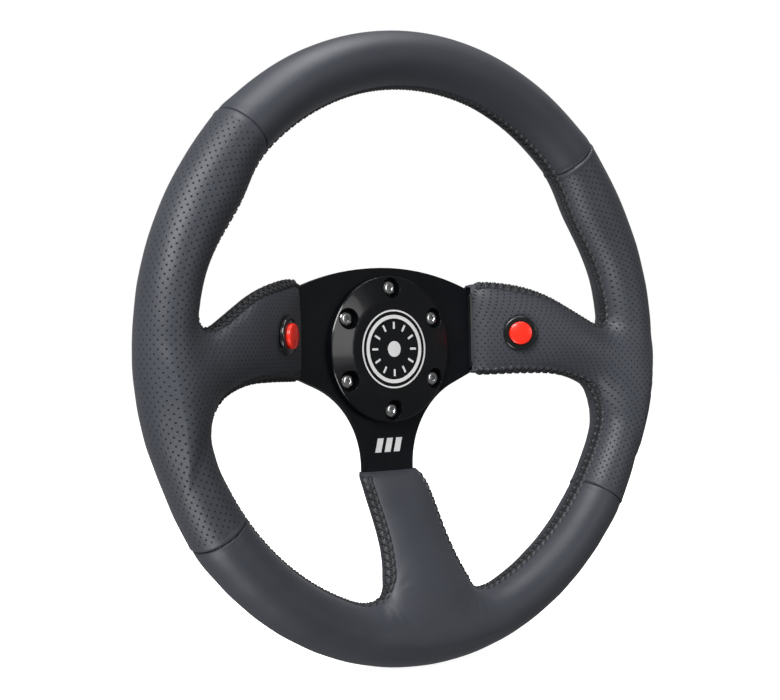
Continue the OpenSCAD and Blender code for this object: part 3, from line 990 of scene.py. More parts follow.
    def build(self) -> dict[str, bpy.types.Object]:
        """Makes the four leather panels.

        Returns:
            Panel name to object, in the frame.
        """
        skin = self.remeshed("skin", self.voxel)
        self.relax(skin, 0.0, 4)
        self.cut(skin)
        p = read_points(skin.data)
        hide = self.hide_map(p)
        normal = unit(self.form.slope(p))
        p = p + normal * (self.seam_relief(p) + self.wrinkles(p))[:, None]
        panel_of = self.panel_numbers(skin)
        faces = [tuple(f.vertices) for f in skin.data.polygons]
        made = {}
        for number, label in enumerate(PANEL_NAMES):
            own = [f for f, n in zip(faces, panel_of) if n == number]
            made[label] = self.panel(f"leather_{label}", p, hide, own)
        bpy.data.objects.remove(skin)
        return made

    def panel_numbers(self, skin: bpy.types.Object) -> Array:
        """Panel of each face of the cut skin.

        Args:
            skin: The cut skin, in drawing millimetres.

        Returns:
            Panel numbers, one for each face.
        """
        centres = np.empty(len(skin.data.polygons) * 3)
        skin.data.polygons.foreach_get("center", centres)
        return self.panels.name_of(centres.reshape(-1, 3))

    def panel(self, name: str, p: Array, hide: Array, faces: list[tuple[int, ...]]) -> bpy.types.Object:
        """Makes one panel and gives it the leather's thickness.

        Args:
            name: Name of the piece.
            p: Drawing points of the whole skin.
            hide: The skin's leather coordinates.
            faces: The panel's faces.

        Returns:
            The panel, in the frame.
        """
        used, numbers = np.unique(np.concatenate([np.array(f) for f in faces]), return_inverse=True)
        ends = np.cumsum([len(f) for f in faces])[:-1]
        local = [part.tolist() for part in np.split(numbers, ends)]
        piece = new_object(name, to_frame(p[used]), local)
        mapped = piece.data.attributes.new("hide", "FLOAT_VECTOR", "POINT")
        mapped.data.foreach_set("vector", hide[used].astype(np.float32).reshape(-1))
        bm = bmesh.new()
        bm.from_mesh(piece.data)
        centre = to_frame(np.array([[0.0, 0.0, self.form.dish]]))[0]
        best = max(bm.faces, key=lambda f: (f.calc_center_median() - Vector(centre)).length)
        if best.normal.dot(best.calc_center_median() - Vector(centre)) < 0.0:
            bmesh.ops.reverse_faces(bm, faces=bm.faces)
        bm.to_mesh(piece.data)
        bm.free()
        thick = piece.modifiers.new("thickness", "SOLIDIFY")
        thick.thickness = self.leather_t * MM
        thick.offset = -1.0
        thick.use_rim = True
        apply_modifiers(piece)
        return piece

    def foam(self) -> bpy.types.Object:
        """Makes the foam moulding under the leather, with the pockets behind the buttons.

        Returns:
            The foam, in the frame.
        """
        piece = self.remeshed("foam_moulding", self.foam_voxel)
        self.relax(piece, self.leather_t + self.foam_gap, 2)
        bm = bmesh.new()
        bm.from_mesh(piece.data)
        for n, reach in self.form.mouths():
            near = [f for f in bm.faces if f.calc_center_median().length < self.hub_zone[1]
                    and f.calc_center_median().dot(n) > self.hub_zone[0]]
            plane = n * (reach + self.foam_back)
            bmesh.ops.bisect_plane(bm, geom=with_edges(near), plane_co=plane, plane_no=n, clear_inner=True,
                                   dist=self.cut_snap)
        bmesh.ops.holes_fill(bm, edges=[e for e in bm.edges if e.is_boundary])
        bm.to_mesh(piece.data)
        bm.free()
        write_points(piece.data, to_frame(read_points(piece.data)))
        face_outwards(piece)
        for side in Side:
            self.drill(piece, side, self.seat.front_hole_r, self.drill_from, -self.seat.reach)
            self.drill(piece, side, self.seat.pocket_r + 0.1, self.pocket_from, -self.seat.reach)
        return piece

    def drill(self, piece: bpy.types.Object, side: Side, r: float, top: float, bottom: float) -> None:
        """Cuts a round hole along a button's axis.

        Args:
            piece: Closed piece, in the frame.
            side: Side of the button.
            r: Radius of the hole.
            top: Height of its upper end over the bezel's face.
            bottom: Height of its lower end.
        """
        tool = revolve("drill", np.array([[r, bottom], [r, top]]), 64, self.seat.place(side))
        cut = piece.modifiers.new("hole", "BOOLEAN")
        cut.operation = "DIFFERENCE"
        cut.solver = "EXACT"
        cut.object = tool
        apply_modifiers(piece)
        bpy.data.objects.remove(tool)


# ---------------------------------------------------------------------------------------------
# Lacing
# ---------------------------------------------------------------------------------------------


@dataclass(frozen=True)
class Lacing:
    """Cross-stitched joint of the leather, which runs round the inside of each opening of the wheel.

    ribbon gives the places across the joint of the puckered edges' points, and half_w is their reach.
    thread_across and thread_rise give a thread's points: across the joint, and over the leather.
    """

    form: GripForm
    panels: Panels
    pitch: float = 4.6
    lip_at: float = 2.15
    lip_w: float = 1.7
    lip_h: float = 0.95
    thread_r: float = 0.46
    forward: float = 3.6
    step: float = 0.575
    rough_step: float = 1.5
    spoke_to: float = 132.0
    ring_r: tuple[float, float] = (143.0, 144.0)
    half_w: float = 4.3
    sides: int = 6
    ribbon: tuple[float, ...] = (-4.3, -3.5, -3.0, -2.6, -2.15, -1.7, -1.2, -0.8, -0.4, 0.0,
                                 0.4, 0.8, 1.2, 1.7, 2.15, 2.6, 3.0, 3.5, 4.3)
    thread_across: tuple[float, ...] = (-3.3, -3.1, -2.2, -1.2, -0.5, 0.0, 0.5, 1.2, 2.2, 3.1, 3.3)
    thread_rise: tuple[float, ...] = (-0.9, 0.35, 0.95, 0.62, 0.42, 0.5, 0.42, 0.62, 0.95, 0.35, -0.9)

    def height_of(self, p: Array) -> Array:
        """Height of the joint: the rim's middle, turning into the spoke's middle over 24 mm.

        Args:
            p: Drawing points of shape (n, 3).

        Returns:
            Heights z of the joint at each point.
        """
        form = self.form
        spoke_mid = np.where(p[:, 1] < -62.0, form.low_mid(-p[:, 1]),
                             form.side_mid(np.maximum(np.abs(p[:, 0]), form.side_mouth)))
        by_side = smooth_step(84.0, 62.0, np.abs(p[:, 1]))
        by_low = smooth_step(80.0, 58.0, np.abs(p[:, 0])) * (p[:, 1] < 0.0)
        w = smooth_step(1.0, 24.0, form.rim(p)) * np.maximum(by_side, by_low)
        return form.dish * (1.0 - w) + (spoke_mid + self.forward) * w

    @staticmethod
    def even(p: Array, step: float) -> Array:
        """Points of a path laid again at even steps of its length.

        Args:
            p: Points of the path.
            step: Length of a step.

        Returns:
            Points at even steps, both ends kept.
        """
        run = np.concatenate([[0.0], np.cumsum(np.linalg.norm(np.diff(p, axis=0), axis=1))])
        at = np.linspace(0.0, run[-1], max(int(round(run[-1] / step)) + 1, 8))
        return np.stack([np.interp(at, run, p[:, k]) for k in range(3)], axis=1)

    def first_guess(self, opening: Opening) -> Array:
        """Corners of the joint round one opening, before it settles on the leather.

        Args:
            opening: The opening.

        Returns:
            Points: out along one spoke, round the inside of the rim and back along the next spoke.
        """
        form = self.form
        x = np.linspace(form.side_mouth, self.spoke_to, 30)
        top, bottom = form.side_edges(x)
        if opening is Opening.UPPER:
            turn = np.radians(np.linspace(2.0, 178.0, 120))
            ring = self.ring_r[0] * np.stack([np.cos(turn), np.sin(turn)], axis=1)
            flat = np.concatenate([np.stack([x, top], axis=1), ring, np.stack([-x, top], axis=1)[::-1]])
        else:
            r = np.linspace(form.low_mouth, self.spoke_to, 30)
            turn = np.radians(np.linspace(-14.0, -77.0, 60))
            ring = self.ring_r[1] * np.stack([np.cos(turn), np.sin(turn)], axis=1)
            foot = np.stack([form.low_sides(r), -r], axis=1)[::-1]
            flat = np.concatenate([np.stack([x, bottom], axis=1), ring, foot])
            flat[:, 0] *= 1.0 if opening is Opening.RIGHT else -1.0
        return np.concatenate([flat, np.zeros((len(flat), 1))], axis=1)

    def path(self, opening: Opening) -> tuple[Array, Array, Array]:
        """Line of the joint on the leather.

        Args:
            opening: The opening.

        Returns:
            Points at even steps, the outward normals and the directions across the joint.
        """
        p = self.even(self.first_guess(opening), self.rough_step)
        for _ in range(40):
            p[1:-1] = 0.4 * p[1:-1] + 0.3 * (p[:-2] + p[2:])
            p[:, 2] = self.height_of(p)
            g = self.form.slope(p)
            g[:, 2] = 0.0
            size = np.maximum(np.sum(g * g, axis=1, keepdims=True), 0.05)
            move = self.form.distance(p)[:, None] * g / size
            move /= np.maximum(np.linalg.norm(move, axis=1, keepdims=True) / self.rough_step, 1.0)
            p = self.even(p - move, self.rough_step)
        p = self.form.settle(self.even(p, self.step), 0.0, 4)
        normal = unit(self.form.slope(p))
        tangent = unit(np.gradient(p, axis=0))
        return p, normal, unit(np.cross(tangent, normal))

    def band(self, opening: Opening) -> tuple[Array, Array, Array]:
        """Puckered edges of leather on both sides of the joint, as one ribbon with a closed section.

        Args:
            opening: The opening.

        Returns:
            Points (n, m, 3), their place across the joint (n, m) and the path's middle points. Across the
            joint the height is lip_h times two bells at plus and minus lip_at; between two stitches each
            bell swells and leans out, and at a stitch it is drawn in.
        """
        p, _, cross = self.path(opening)
        s = np.arange(len(p)) * self.step
        v = np.array(self.ribbon)[None, :]
        puff = 0.5 - 0.5 * np.cos(2.0 * np.pi * s / self.pitch)[:, None]
        puff = np.where(v < 0.0, puff, 0.5 - 0.5 * np.cos(2.0 * np.pi * (s / self.pitch + 0.12))[:, None])
        width = self.lip_w * (0.55 + 0.3 * puff)
        peak = self.lip_at + 0.3 * (puff - 0.5)
        lips = self.lip_h * (0.45 + 0.75 * puff) * np.exp(-(((np.abs(v) - peak) / width) ** 2))
        tails = smooth_step(self.half_w, self.half_w - 0.9, np.abs(v))
        high = lips * tails + 0.12 * tails - 0.35 * (1.0 - tails)
        surface = self.form.settle((p[:, None, :] + v[..., None] * cross[:, None, :]).reshape(-1, 3), 0.0, 4)
        out = unit(self.form.slope(surface))
        top = surface + high.reshape(-1, 1) * out
        under = surface - 0.8 * out
        shape = (len(p), v.shape[1], 3)
        section = np.concatenate([top.reshape(shape), under.reshape(shape)[:, ::-1]], axis=1)
        across = np.concatenate([v, v[:, ::-1] + 20.0], axis=1) + np.zeros((len(p), 1))
        return section, across, p

    def threads(self, opening: Opening) -> tuple[Array, Array]:
        """Crossing threads over the joint.

        Args:
            opening: The opening.

        Returns:
            Tube points (count, rings, sides, 3) and the middle of each thread. Thread k runs from one lip to
            the other half a pitch further on, over both lips and down into the joint between them; every
            second thread runs the other way and passes over the first.
        """
        p, normal, cross = self.path(opening)
        length = (len(p) - 1) * self.step
        count = int(length / self.pitch) - 1
        start = (np.arange(count) + 0.75) * self.pitch
        rise = np.array(self.thread_rise)
        side = np.array(self.thread_across)
        lean = np.linspace(-0.5, 0.5, len(side))
        middles, tubes = [], []
        for way in (1.0, -1.0):
            s = start[:, None] + way * lean[None, :] * self.pitch * 0.86
            i = np.clip(s / self.step, 0, len(p) - 1.001)
            lo = i.astype(int)
            f = (i - lo)[..., None]
            mix = [a[lo] * (1 - f) + a[lo + 1] * f for a in (p, normal, cross)]
            over = 0.32 * np.exp(-((side / 0.8) ** 2)) * (way < 0)
            spot = mix[0] + side[None, :, None] * mix[2]
            spot = self.form.settle(spot.reshape(-1, 3), 0.0, 3).reshape(spot.shape)
            centre = spot + (rise + over)[None, :, None] * unit(mix[1])
            t = unit(np.gradient(centre, axis=1))
            a = unit(np.cross(t, unit(mix[1])))
            b = np.cross(t, a)
            turn = full_turn(self.sides)
            ring = a[:, :, None, :] * np.cos(turn)[:, None] + b[:, :, None, :] * np.sin(turn)[:, None]
            tubes.append(centre[:, :, None, :] + self.thread_r * ring)
            middles.append(centre[:, len(side) // 2, :])
        return np.concatenate(tubes), np.concatenate(middles)

    def build(self) -> tuple[dict[int, bpy.types.Object], dict[int, bpy.types.Object]]:
        """Makes the laced edges and the threads of each panel.

        Returns:
            Edges and threads by panel number, in the frame.
        """
        edges: dict[int, list] = {}
        lace: dict[int, list] = {}
        for opening in Opening:
            section, across, middle = self.band(opening)
            panel = self.panels.name_of(middle)
            breaks = np.flatnonzero(np.diff(panel)) + 1
            starts = np.concatenate([[0], breaks])
            ends = np.concatenate([breaks + 1, [len(panel)]])
            for a, b in zip(starts, np.minimum(ends, len(panel))):
                edges.setdefault(int(panel[a]), []).append((section[a:b], across[a:b]))
            tubes, mids = self.threads(opening)
            owner = self.panels.name_of(mids)
            for number in np.unique(owner):
                lace.setdefault(int(number), []).append(tubes[owner == number])
        made_edges = {n: self.edge_piece(f"laced_edge_{PANEL_NAMES[n]}", parts) for n, parts in edges.items()}
        made_lace = {n: self.thread_piece(f"cross_stitches_{PANEL_NAMES[n]}", np.concatenate(parts))
                     for n, parts in lace.items()}
        return made_edges, made_lace

    @staticmethod
    def edge_piece(name: str, parts: list[tuple[Array, Array]]) -> bpy.types.Object:
        """Joins the ribbons of one panel and closes their ends.

        Args:
            name: Name of the piece.
            parts: Points and places across the joint of each ribbon.

        Returns:
            The piece, in the frame.
        """
        verts, faces, across = [], [], []
        base = 0
        for section, place in parts:
            rows, cols = section.shape[:2]
            verts.append(section.reshape(-1, 3))
            across.append(place.reshape(-1))
            faces += (grid_faces(rows, cols) + base).tolist()
            faces.append(list(range(base, base + cols)))
            faces.append(list(range(base + (rows - 1) * cols, base + rows * cols))[::-1])
            base += rows * cols
        piece = new_object(name, to_frame(np.concatenate(verts)), faces)
        mapped = piece.data.attributes.new("hide", "FLOAT_VECTOR", "POINT")
        place = np.concatenate(across)
        hide = np.stack([np.zeros(len(place)), place, np.zeros(len(place))], axis=1)
        mapped.data.foreach_set("vector", hide.astype(np.float32).reshape(-1))
        face_outwards(piece)
        return piece

    @staticmethod
    def thread_piece(name: str, tubes: Array) -> bpy.types.Object:
        """Makes one mesh of many short closed tubes.

        Args:
            name: Name of the piece.
            tubes: Points of shape (count, rings, sides, 3).

        Returns:
            The piece, in the frame.
        """
        count, rings, sides = tubes.shape[:3]
        one = grid_faces(rings, sides)
        per = rings * sides
        faces = (one[None] + (np.arange(count) * per)[:, None, None]).reshape(-1, 4).tolist()
        for k in range(count):
            faces.append(list(range(k * per, k * per + sides))[::-1])
            faces.append(list(range((k + 1) * per - sides, (k + 1) * per)))
        piece = new_object(name, to_frame(tubes.reshape(-1, 3)), faces)
        face_outwards(piece)
        return piece


# ---------------------------------------------------------------------------------------------
# Materials
# ---------------------------------------------------------------------------------------------


class Paint:
    """Node tree of one material, with short calls for the nodes that every finish uses."""

    def __init__(self, name: str) -> None:
        """Starts a material with a Principled shader.

        Args:
            name: Name of the material.
        """
        self.material = bpy.data.materials.new(name)
        self.material.use_nodes = True
        self.nodes = self.material.node_tree.nodes
        self.links = self.material.node_tree.links
        self.shader = self.nodes["Principled BSDF"]

    def fixed(self, **values: float | tuple) -> None:
        """Sets constants on the shader's own sockets, named with underscores for spaces."""
        for key, value in values.items():
            self.shader.inputs[key.replace("_", " ")].default_value = value

    def node(self, kind: str, **values: object) -> bpy.types.Node:
        """Adds a node and sets its properties, or its inputs where the name is an input's.

        Args:
            kind: Type of the node.
            values: Its properties and inputs, with underscores for spaces.

        Returns:
            The node.
        """
        made = self.nodes.new(kind)
        for key, value in values.items():
            label = key.replace("_", " ")
            if label in made.inputs:
                made.inputs[label].default_value = value
            else:
                setattr(made, key, value)
        return made

    def link(self, a: bpy.types.NodeSocket, b: bpy.types.NodeSocket) -> None:
        """Joins two sockets."""
        self.links.new(a, b)

    def place(self) -> bpy.types.NodeSocket:
        """Object coordinates, in metres."""
        return self.node("ShaderNodeTexCoord").outputs["Object"]

    def group(self, tree: bpy.types.NodeTree, **values: float | tuple) -> bpy.types.Node:
        """Places a shared effect with its own values.

        Args:
            tree: The effect.
            values: Its inputs, with underscores for spaces.

        Returns:
            The group node.
        """
        made = self.nodes.new("ShaderNodeGroup")
        made.node_tree = tree
        for key, value in values.items():
            made.inputs[key.replace("_", " ")].default_value = value
        return made

    def ramp(self, value: bpy.types.NodeSocket, low: tuple, high: tuple) -> bpy.types.NodeSocket:
        """Colour that runs from low to high with a value from 0 to 1.

        Args:
            value: Socket of the value.
            low: Colour at 0.
            high: Colour at 1.

        Returns:
            Socket of the colour.
        """
        mix = self.node("ShaderNodeMix", data_type="RGBA")
        mix.inputs[6].default_value = low
        mix.inputs[7].default_value = high
        self.link(value, mix.inputs[0])
        return mix.outputs[2]


class Effects:
    """Shader groups that several finishes share."""

    def __init__(self) -> None:
        """Builds every group once."""
        self.grain = self.make_grain()
        self.speckle = self.make_speckle()

    @staticmethod
    def start(name: str, inputs: dict[str, tuple[str, object]], outputs: dict[str, str]) -> tuple:
        """Starts a group.

        Args:
            name: Name of the group.
            inputs: Socket name to its type and its value.
            outputs: Socket name to its type.

        Returns:
            The tree, its input node and its output node.
        """
        tree = bpy.data.node_groups.new(name, "ShaderNodeTree")
        for key, (kind, value) in inputs.items():
            socket = tree.interface.new_socket(name=key, in_out="INPUT", socket_type=kind)
            if value is not None:
                socket.default_value = value
        for key, kind in outputs.items():
            tree.interface.new_socket(name=key, in_out="OUTPUT", socket_type=kind)
        return tree, tree.nodes.new("NodeGroupInput"), tree.nodes.new("NodeGroupOutput")

    @staticmethod
    def math(tree: bpy.types.NodeTree, kind: str, a: object, b: object = None, c: object = None) -> object:
        """Adds a Math node whose inputs are sockets or numbers, and gives its output.

        Args:
            tree: Tree that the node goes into.
            kind: What it works out.
            a: First input.
            b: Second input.
            c: Third input.

        Returns:
            The output socket.
        """
        node = tree.nodes.new("ShaderNodeMath")
        node.operation = kind
        for i, value in enumerate((a, b, c)):
            if value is None:
                continue
            if isinstance(value, (int, float)):
                node.inputs[i].default_value = value
            else:
                tree.links.new(value, node.inputs[i])
        return node.outputs[0]

    def make_grain(self) -> bpy.types.NodeTree:
        """Leather grain: cells of about a millimetre with fine noise on them, as a height and a slow tone.

        Returns:
            The group.
        """
        tree, given, out = self.start(
            "leather_grain",
            {"Place": ("NodeSocketVector", None), "Cells per metre": ("NodeSocketFloat", 1100.0)},
            {"Height": "NodeSocketFloat", "Tone": "NodeSocketFloat"})
        cells = tree.nodes.new("ShaderNodeTexVoronoi")
        cells.feature = "DISTANCE_TO_EDGE"
        fine = tree.nodes.new("ShaderNodeTexNoise")
        fine.inputs["Detail"].default_value = 3.0
        slow = tree.nodes.new("ShaderNodeTexNoise")
        slow.inputs["Scale"].default_value = 28.0
        slow.inputs["Detail"].default_value = 2.0
        for node in (cells, fine, slow):
            tree.links.new(given.outputs["Place"], node.inputs["Vector"])
        scale = given.outputs["Cells per metre"]
        tree.links.new(scale, cells.inputs["Scale"])
        tree.links.new(self.math(tree, "MULTIPLY", scale, 2.3), fine.inputs["Scale"])
        edge = self.math(tree, "MINIMUM", self.math(tree, "MULTIPLY", cells.outputs["Distance"], 4.0), 1.0)
        half_edge = self.math(tree, "MULTIPLY", edge, 0.5)
        high = self.math(tree, "MULTIPLY_ADD", fine.outputs["Fac"], 0.5, half_edge)
        tree.links.new(high, out.inputs["Height"])
        tree.links.new(slow.outputs["Fac"], out.inputs["Tone"])
        return tree

    def make_speckle(self) -> bpy.types.NodeTree:
        """Fine texture of a moulded, painted or anodised skin: a small height and a mask of faint wear.

        Returns:
            The group. The mask is three times a slow noise less 1.2, held between 0 and 1.
        """
        tree, given, out = self.start(
            "fine_skin",
            {"Place": ("NodeSocketVector", None), "Scale": ("NodeSocketFloat", 900.0),
             "Wear scale": ("NodeSocketFloat", 45.0)},
            {"Height": "NodeSocketFloat", "Wear": "NodeSocketFloat"})
        fine = tree.nodes.new("ShaderNodeTexNoise")
        slow = tree.nodes.new("ShaderNodeTexNoise")
        slow.inputs["Detail"].default_value = 6.0
        slow.inputs["Roughness"].default_value = 0.65
        for node, scale in ((fine, "Scale"), (slow, "Wear scale")):
            tree.links.new(given.outputs["Place"], node.inputs["Vector"])
            tree.links.new(given.outputs[scale], node.inputs["Scale"])
        tree.links.new(fine.outputs["Fac"], out.inputs["Height"])
        steep = self.math(tree, "MULTIPLY_ADD", slow.outputs["Fac"], 3.0, -1.2)
        above = self.math(tree, "MAXIMUM", steep, 0.0)
        tree.links.new(self.math(tree, "SMOOTH_MIN", above, 1.0, 0.1), out.inputs["Wear"])
        return tree


@dataclass(frozen=True)
class LeatherFinish:
    """Charcoal leather with a fine grain, and rows of small round holes where it is perforated. The holes are
    not cut: each is painted near black as the shade inside it and pressed in by the bump.
    """

    name: str = "charcoal_leather"
    dark: tuple = (0.026, 0.028, 0.036, 1.0)
    light: tuple = (0.036, 0.039, 0.049, 1.0)
    # Painted shade: near-black colour of the inside of each perforation.
    hole: tuple = (0.0035, 0.0038, 0.005, 1.0)
    roughness: float = 0.47
    pitch: float = 4.15
    hole_r: float = 0.56

    def make(self, effects: Effects) -> bpy.types.Material:
        """Builds the material.

        Args:
            effects: Shared shader groups.

        Returns:
            The material. A hole sits at every point of a grid with rows half a pitch apart, and every second
            row is shifted by half a pitch.
        """
        paint = Paint(self.name)
        tree = paint.material.node_tree
        grain = paint.group(effects.grain)
        paint.link(paint.place(), grain.inputs["Place"])
        hide = paint.node("ShaderNodeAttribute", attribute_name="hide")
        parts = paint.node("ShaderNodeSeparateXYZ")
        paint.link(hide.outputs["Vector"], parts.inputs[0])
        near = None
        for shift in (0.0, 0.5):
            offsets = []
            for axis in (0, 1):
                place = parts.outputs[axis]
                rows = effects.math(tree, "MULTIPLY_ADD", place, 1.0 / self.pitch, shift + 100.0)
                off = effects.math(tree, "SUBTRACT", effects.math(tree, "FRACT", rows), 0.5)
                offsets.append(effects.math(tree, "MULTIPLY", off, self.pitch))
            square = effects.math(tree, "MULTIPLY", offsets[0], offsets[0])
            total = effects.math(tree, "MULTIPLY_ADD", offsets[1], offsets[1], square)
            away = effects.math(tree, "SQRT", total)
            near = away if near is None else effects.math(tree, "MINIMUM", near, away)
        dot = paint.node("ShaderNodeMapRange", interpolation_type="SMOOTHSTEP")
        for key, value in ((1, self.hole_r * 0.55), (2, self.hole_r * 1.25), (3, 1.0), (4, 0.0)):
            dot.inputs[key].default_value = value
        paint.link(near, dot.inputs[0])
        hole = effects.math(tree, "MULTIPLY", dot.outputs[0], parts.outputs[2])
        shade = paint.ramp(grain.outputs["Tone"], self.dark, self.light)
        # Painted shade: inside each perforation the colour turns to the near-black hole colour.
        colour = paint.node("ShaderNodeMix", data_type="RGBA")
        colour.inputs[7].default_value = self.hole
        paint.link(hole, colour.inputs[0])
        paint.link(shade, colour.inputs[6])
        paint.link(colour.outputs[2], paint.shader.inputs["Base Color"])
        rough = effects.math(tree, "MULTIPLY_ADD", grain.outputs["Tone"], 0.14, self.roughness - 0.07)
        rough = effects.math(tree, "MULTIPLY_ADD", hole, 0.4, rough)
        paint.link(rough, paint.shader.inputs["Roughness"])
        height = effects.math(tree, "MULTIPLY_ADD", hole, -4.0, grain.outputs["Height"])
        bumped = paint.node("ShaderNodeBump", Strength=0.35, Distance=0.00012)
        paint.link(height, bumped.inputs["Height"])
        paint.link(bumped.outputs[0], paint.shader.inputs["Normal"])
        paint.fixed(Specular_IOR_Level=0.36, Sheen_Weight=0.06, Sheen_Roughness=0.45)
        return paint.material


@dataclass(frozen=True)
class SkinFinish:
    """Hard finish: a colour with faint wear, a fine skin in the normal and a chosen gloss."""

    name: str
    colour: tuple
    worn: tuple
    roughness: float
    worn_roughness: float
    metallic: float = 0.0
    coat: float = 0.0
    grain: float = 900.0
    depth: float = 0.00002
    specular: float = 0.5
    strength: float = 0.25

    def make(self, effects: Effects) -> bpy.types.Material:
        """Builds the material.

        Args:
            effects: Shared shader groups.

        Returns:
            The material.
        """
        paint = Paint(self.name)
        tree = paint.material.node_tree
        skin = paint.group(effects.speckle, Scale=self.grain)
        paint.link(paint.place(), skin.inputs["Place"])
        shade = paint.ramp(skin.outputs["Wear"], self.colour, self.worn)
        paint.link(shade, paint.shader.inputs["Base Color"])
        rough = effects.math(tree, "MULTIPLY_ADD", skin.outputs["Wear"],
                             self.worn_roughness - self.roughness, self.roughness)
        paint.link(rough, paint.shader.inputs["Roughness"])
        bumped = paint.node("ShaderNodeBump", Strength=self.strength, Distance=self.depth)
        paint.link(skin.outputs["Height"], bumped.inputs["Height"])
        paint.link(bumped.outputs[0], paint.shader.inputs["Normal"])
        paint.fixed(Metallic=self.metallic, Coat_Weight=self.coat, Coat_Roughness=0.06,
                    Specular_IOR_Level=self.specular)
        return paint.material


def grey(value: float, blue: float = 1.0) -> tuple:
    """Linear grey with a share of extra blue."""
    return (value, value * (1.0 + 0.3 * (blue - 1.0)), value * blue, 1.0)


FINISHES = {
    "thread": SkinFinish("waxed_thread", grey(0.006, 1.1), grey(0.014, 1.1), 0.55, 0.7,
                         grain=2600.0, depth=0.0001),
    "foam": SkinFinish("moulded_foam", grey(0.03), grey(0.045), 0.9, 0.95, grain=1400.0, depth=0.0002),
    "plate": SkinFinish("satin_black_anodised", (0.0032, 0.0042, 0.0058, 1), (0.0046, 0.0058, 0.0076, 1),
                        0.33, 0.42, specular=0.16, grain=2400.0, depth=0.00001),
    "alloy": SkinFinish("tube_steel", grey(0.32, 1.05), grey(0.22, 1.0), 0.35, 0.5,
                        metallic=1.0, grain=700.0),
    "cover": SkinFinish("gloss_black_cover", (0.0026, 0.003, 0.0042, 1), (0.0032, 0.0038, 0.005, 1),
                        0.2, 0.26, coat=0.25, specular=0.3, grain=300.0, depth=0.000006),
    "print": SkinFinish("white_print", grey(0.72), grey(0.6), 0.4, 0.55, grain=1500.0),
    "screw": SkinFinish("bright_screw", grey(0.6, 1.02), grey(0.45, 1.03), 0.16, 0.28,
                        metallic=1.0, grain=1500.0),
    "cap": SkinFinish("red_cap", (0.84, 0.022, 0.008, 1), (0.76, 0.018, 0.007, 1), 0.22, 0.3, coat=0.3,
                      grain=300.0, depth=0.00001),
    "bezel": SkinFinish("button_black", grey(0.0045, 1.1), grey(0.008, 1.1), 0.16, 0.24,
                        coat=0.4, grain=400.0),
    "spring": SkinFinish("spring_wire", grey(0.5, 1.02), grey(0.4), 0.25, 0.35, metallic=1.0, grain=2000.0),
    "brass": SkinFinish("contact_brass", (0.72, 0.5, 0.2, 1), (0.55, 0.36, 0.14, 1), 0.3, 0.42, metallic=1.0),
    "stem": SkinFinish("white_acetal", grey(0.7), grey(0.6), 0.4, 0.5, grain=800.0),
}


# ---------------------------------------------------------------------------------------------
# Hub
# ---------------------------------------------------------------------------------------------


def merged_copy(frame: dict, node: str, name: str) -> bpy.types.Object:
    """Copy of a CAD node with its loose triangles merged and its flat faces joined.

    Args:
        node: Name of the CAD node.
        name: Name of the copy.

    Returns:
        The copy, at the origin and in the frame.
    """
    mesh = frame["nodes"][node].data.copy()
    mesh.name = name
    bm = bmesh.new()
    bm.from_mesh(mesh)
    bmesh.ops.remove_doubles(bm, verts=bm.verts, dist=2e-6)
    bmesh.ops.dissolve_degenerate(bm, edges=bm.edges, dist=1e-6)
    bmesh.ops.recalc_face_normals(bm, faces=bm.faces)
    bmesh.ops.dissolve_limit(bm, angle_limit=math.radians(0.6), verts=bm.verts, edges=bm.edges)
    bm.to_mesh(mesh)
    bm.free()
    piece = bpy.data.objects.new(name, mesh)
    bpy.context.scene.collection.objects.link(piece)
    return piece


def soften(piece: bpy.types.Object, width: float, steps: int = 2, angle: float = 32.0) -> None:
    """Rounds every edge steeper than an angle, and keeps flat faces flat in the shading.

    Args:
        piece: Merged piece, in the frame.
        width: Width of the round in millimetres.
        steps: Number of faces across it.
        angle: Steepness in degrees from which an edge is rounded.
    """
    bevel = piece.modifiers.new("soft edges", "BEVEL")
    bevel.width = width * MM
    bevel.segments = steps
    bevel.limit_method = "ANGLE"
    bevel.angle_limit = math.radians(angle)
    bevel.miter_outer = "MITER_ARC"
    bevel.harden_normals = False
    apply_modifiers(piece)
    piece.data.polygons.foreach_set("use_smooth", np.ones(len(piece.data.polygons), dtype=bool))
    shade = piece.modifiers.new("flat faces", "WEIGHTED_NORMAL")
    shade.keep_sharp = True
    shade.weight = 90
    set_sharp(piece, 50.0)


def finish_piece(piece: bpy.types.Object, body: str, slot: str, material: bpy.types.Material,
                 *nodes: str) -> None:
    """Gives a piece its material and its body, and hides the CAD nodes that it replaces.

    Args:
        piece: Finished piece, at the origin.
        body: Body that it rides on.
        slot: Not used.
        material: Its material.
        nodes: CAD nodes that it replaces, if any.
    """
    piece.data.materials.clear()
    piece.data.materials.append(material)
    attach(piece, body)
    if nodes:
        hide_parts(*nodes)
    LOG.info("%s: %d faces on %s", piece.name, len(piece.data.polygons), body)


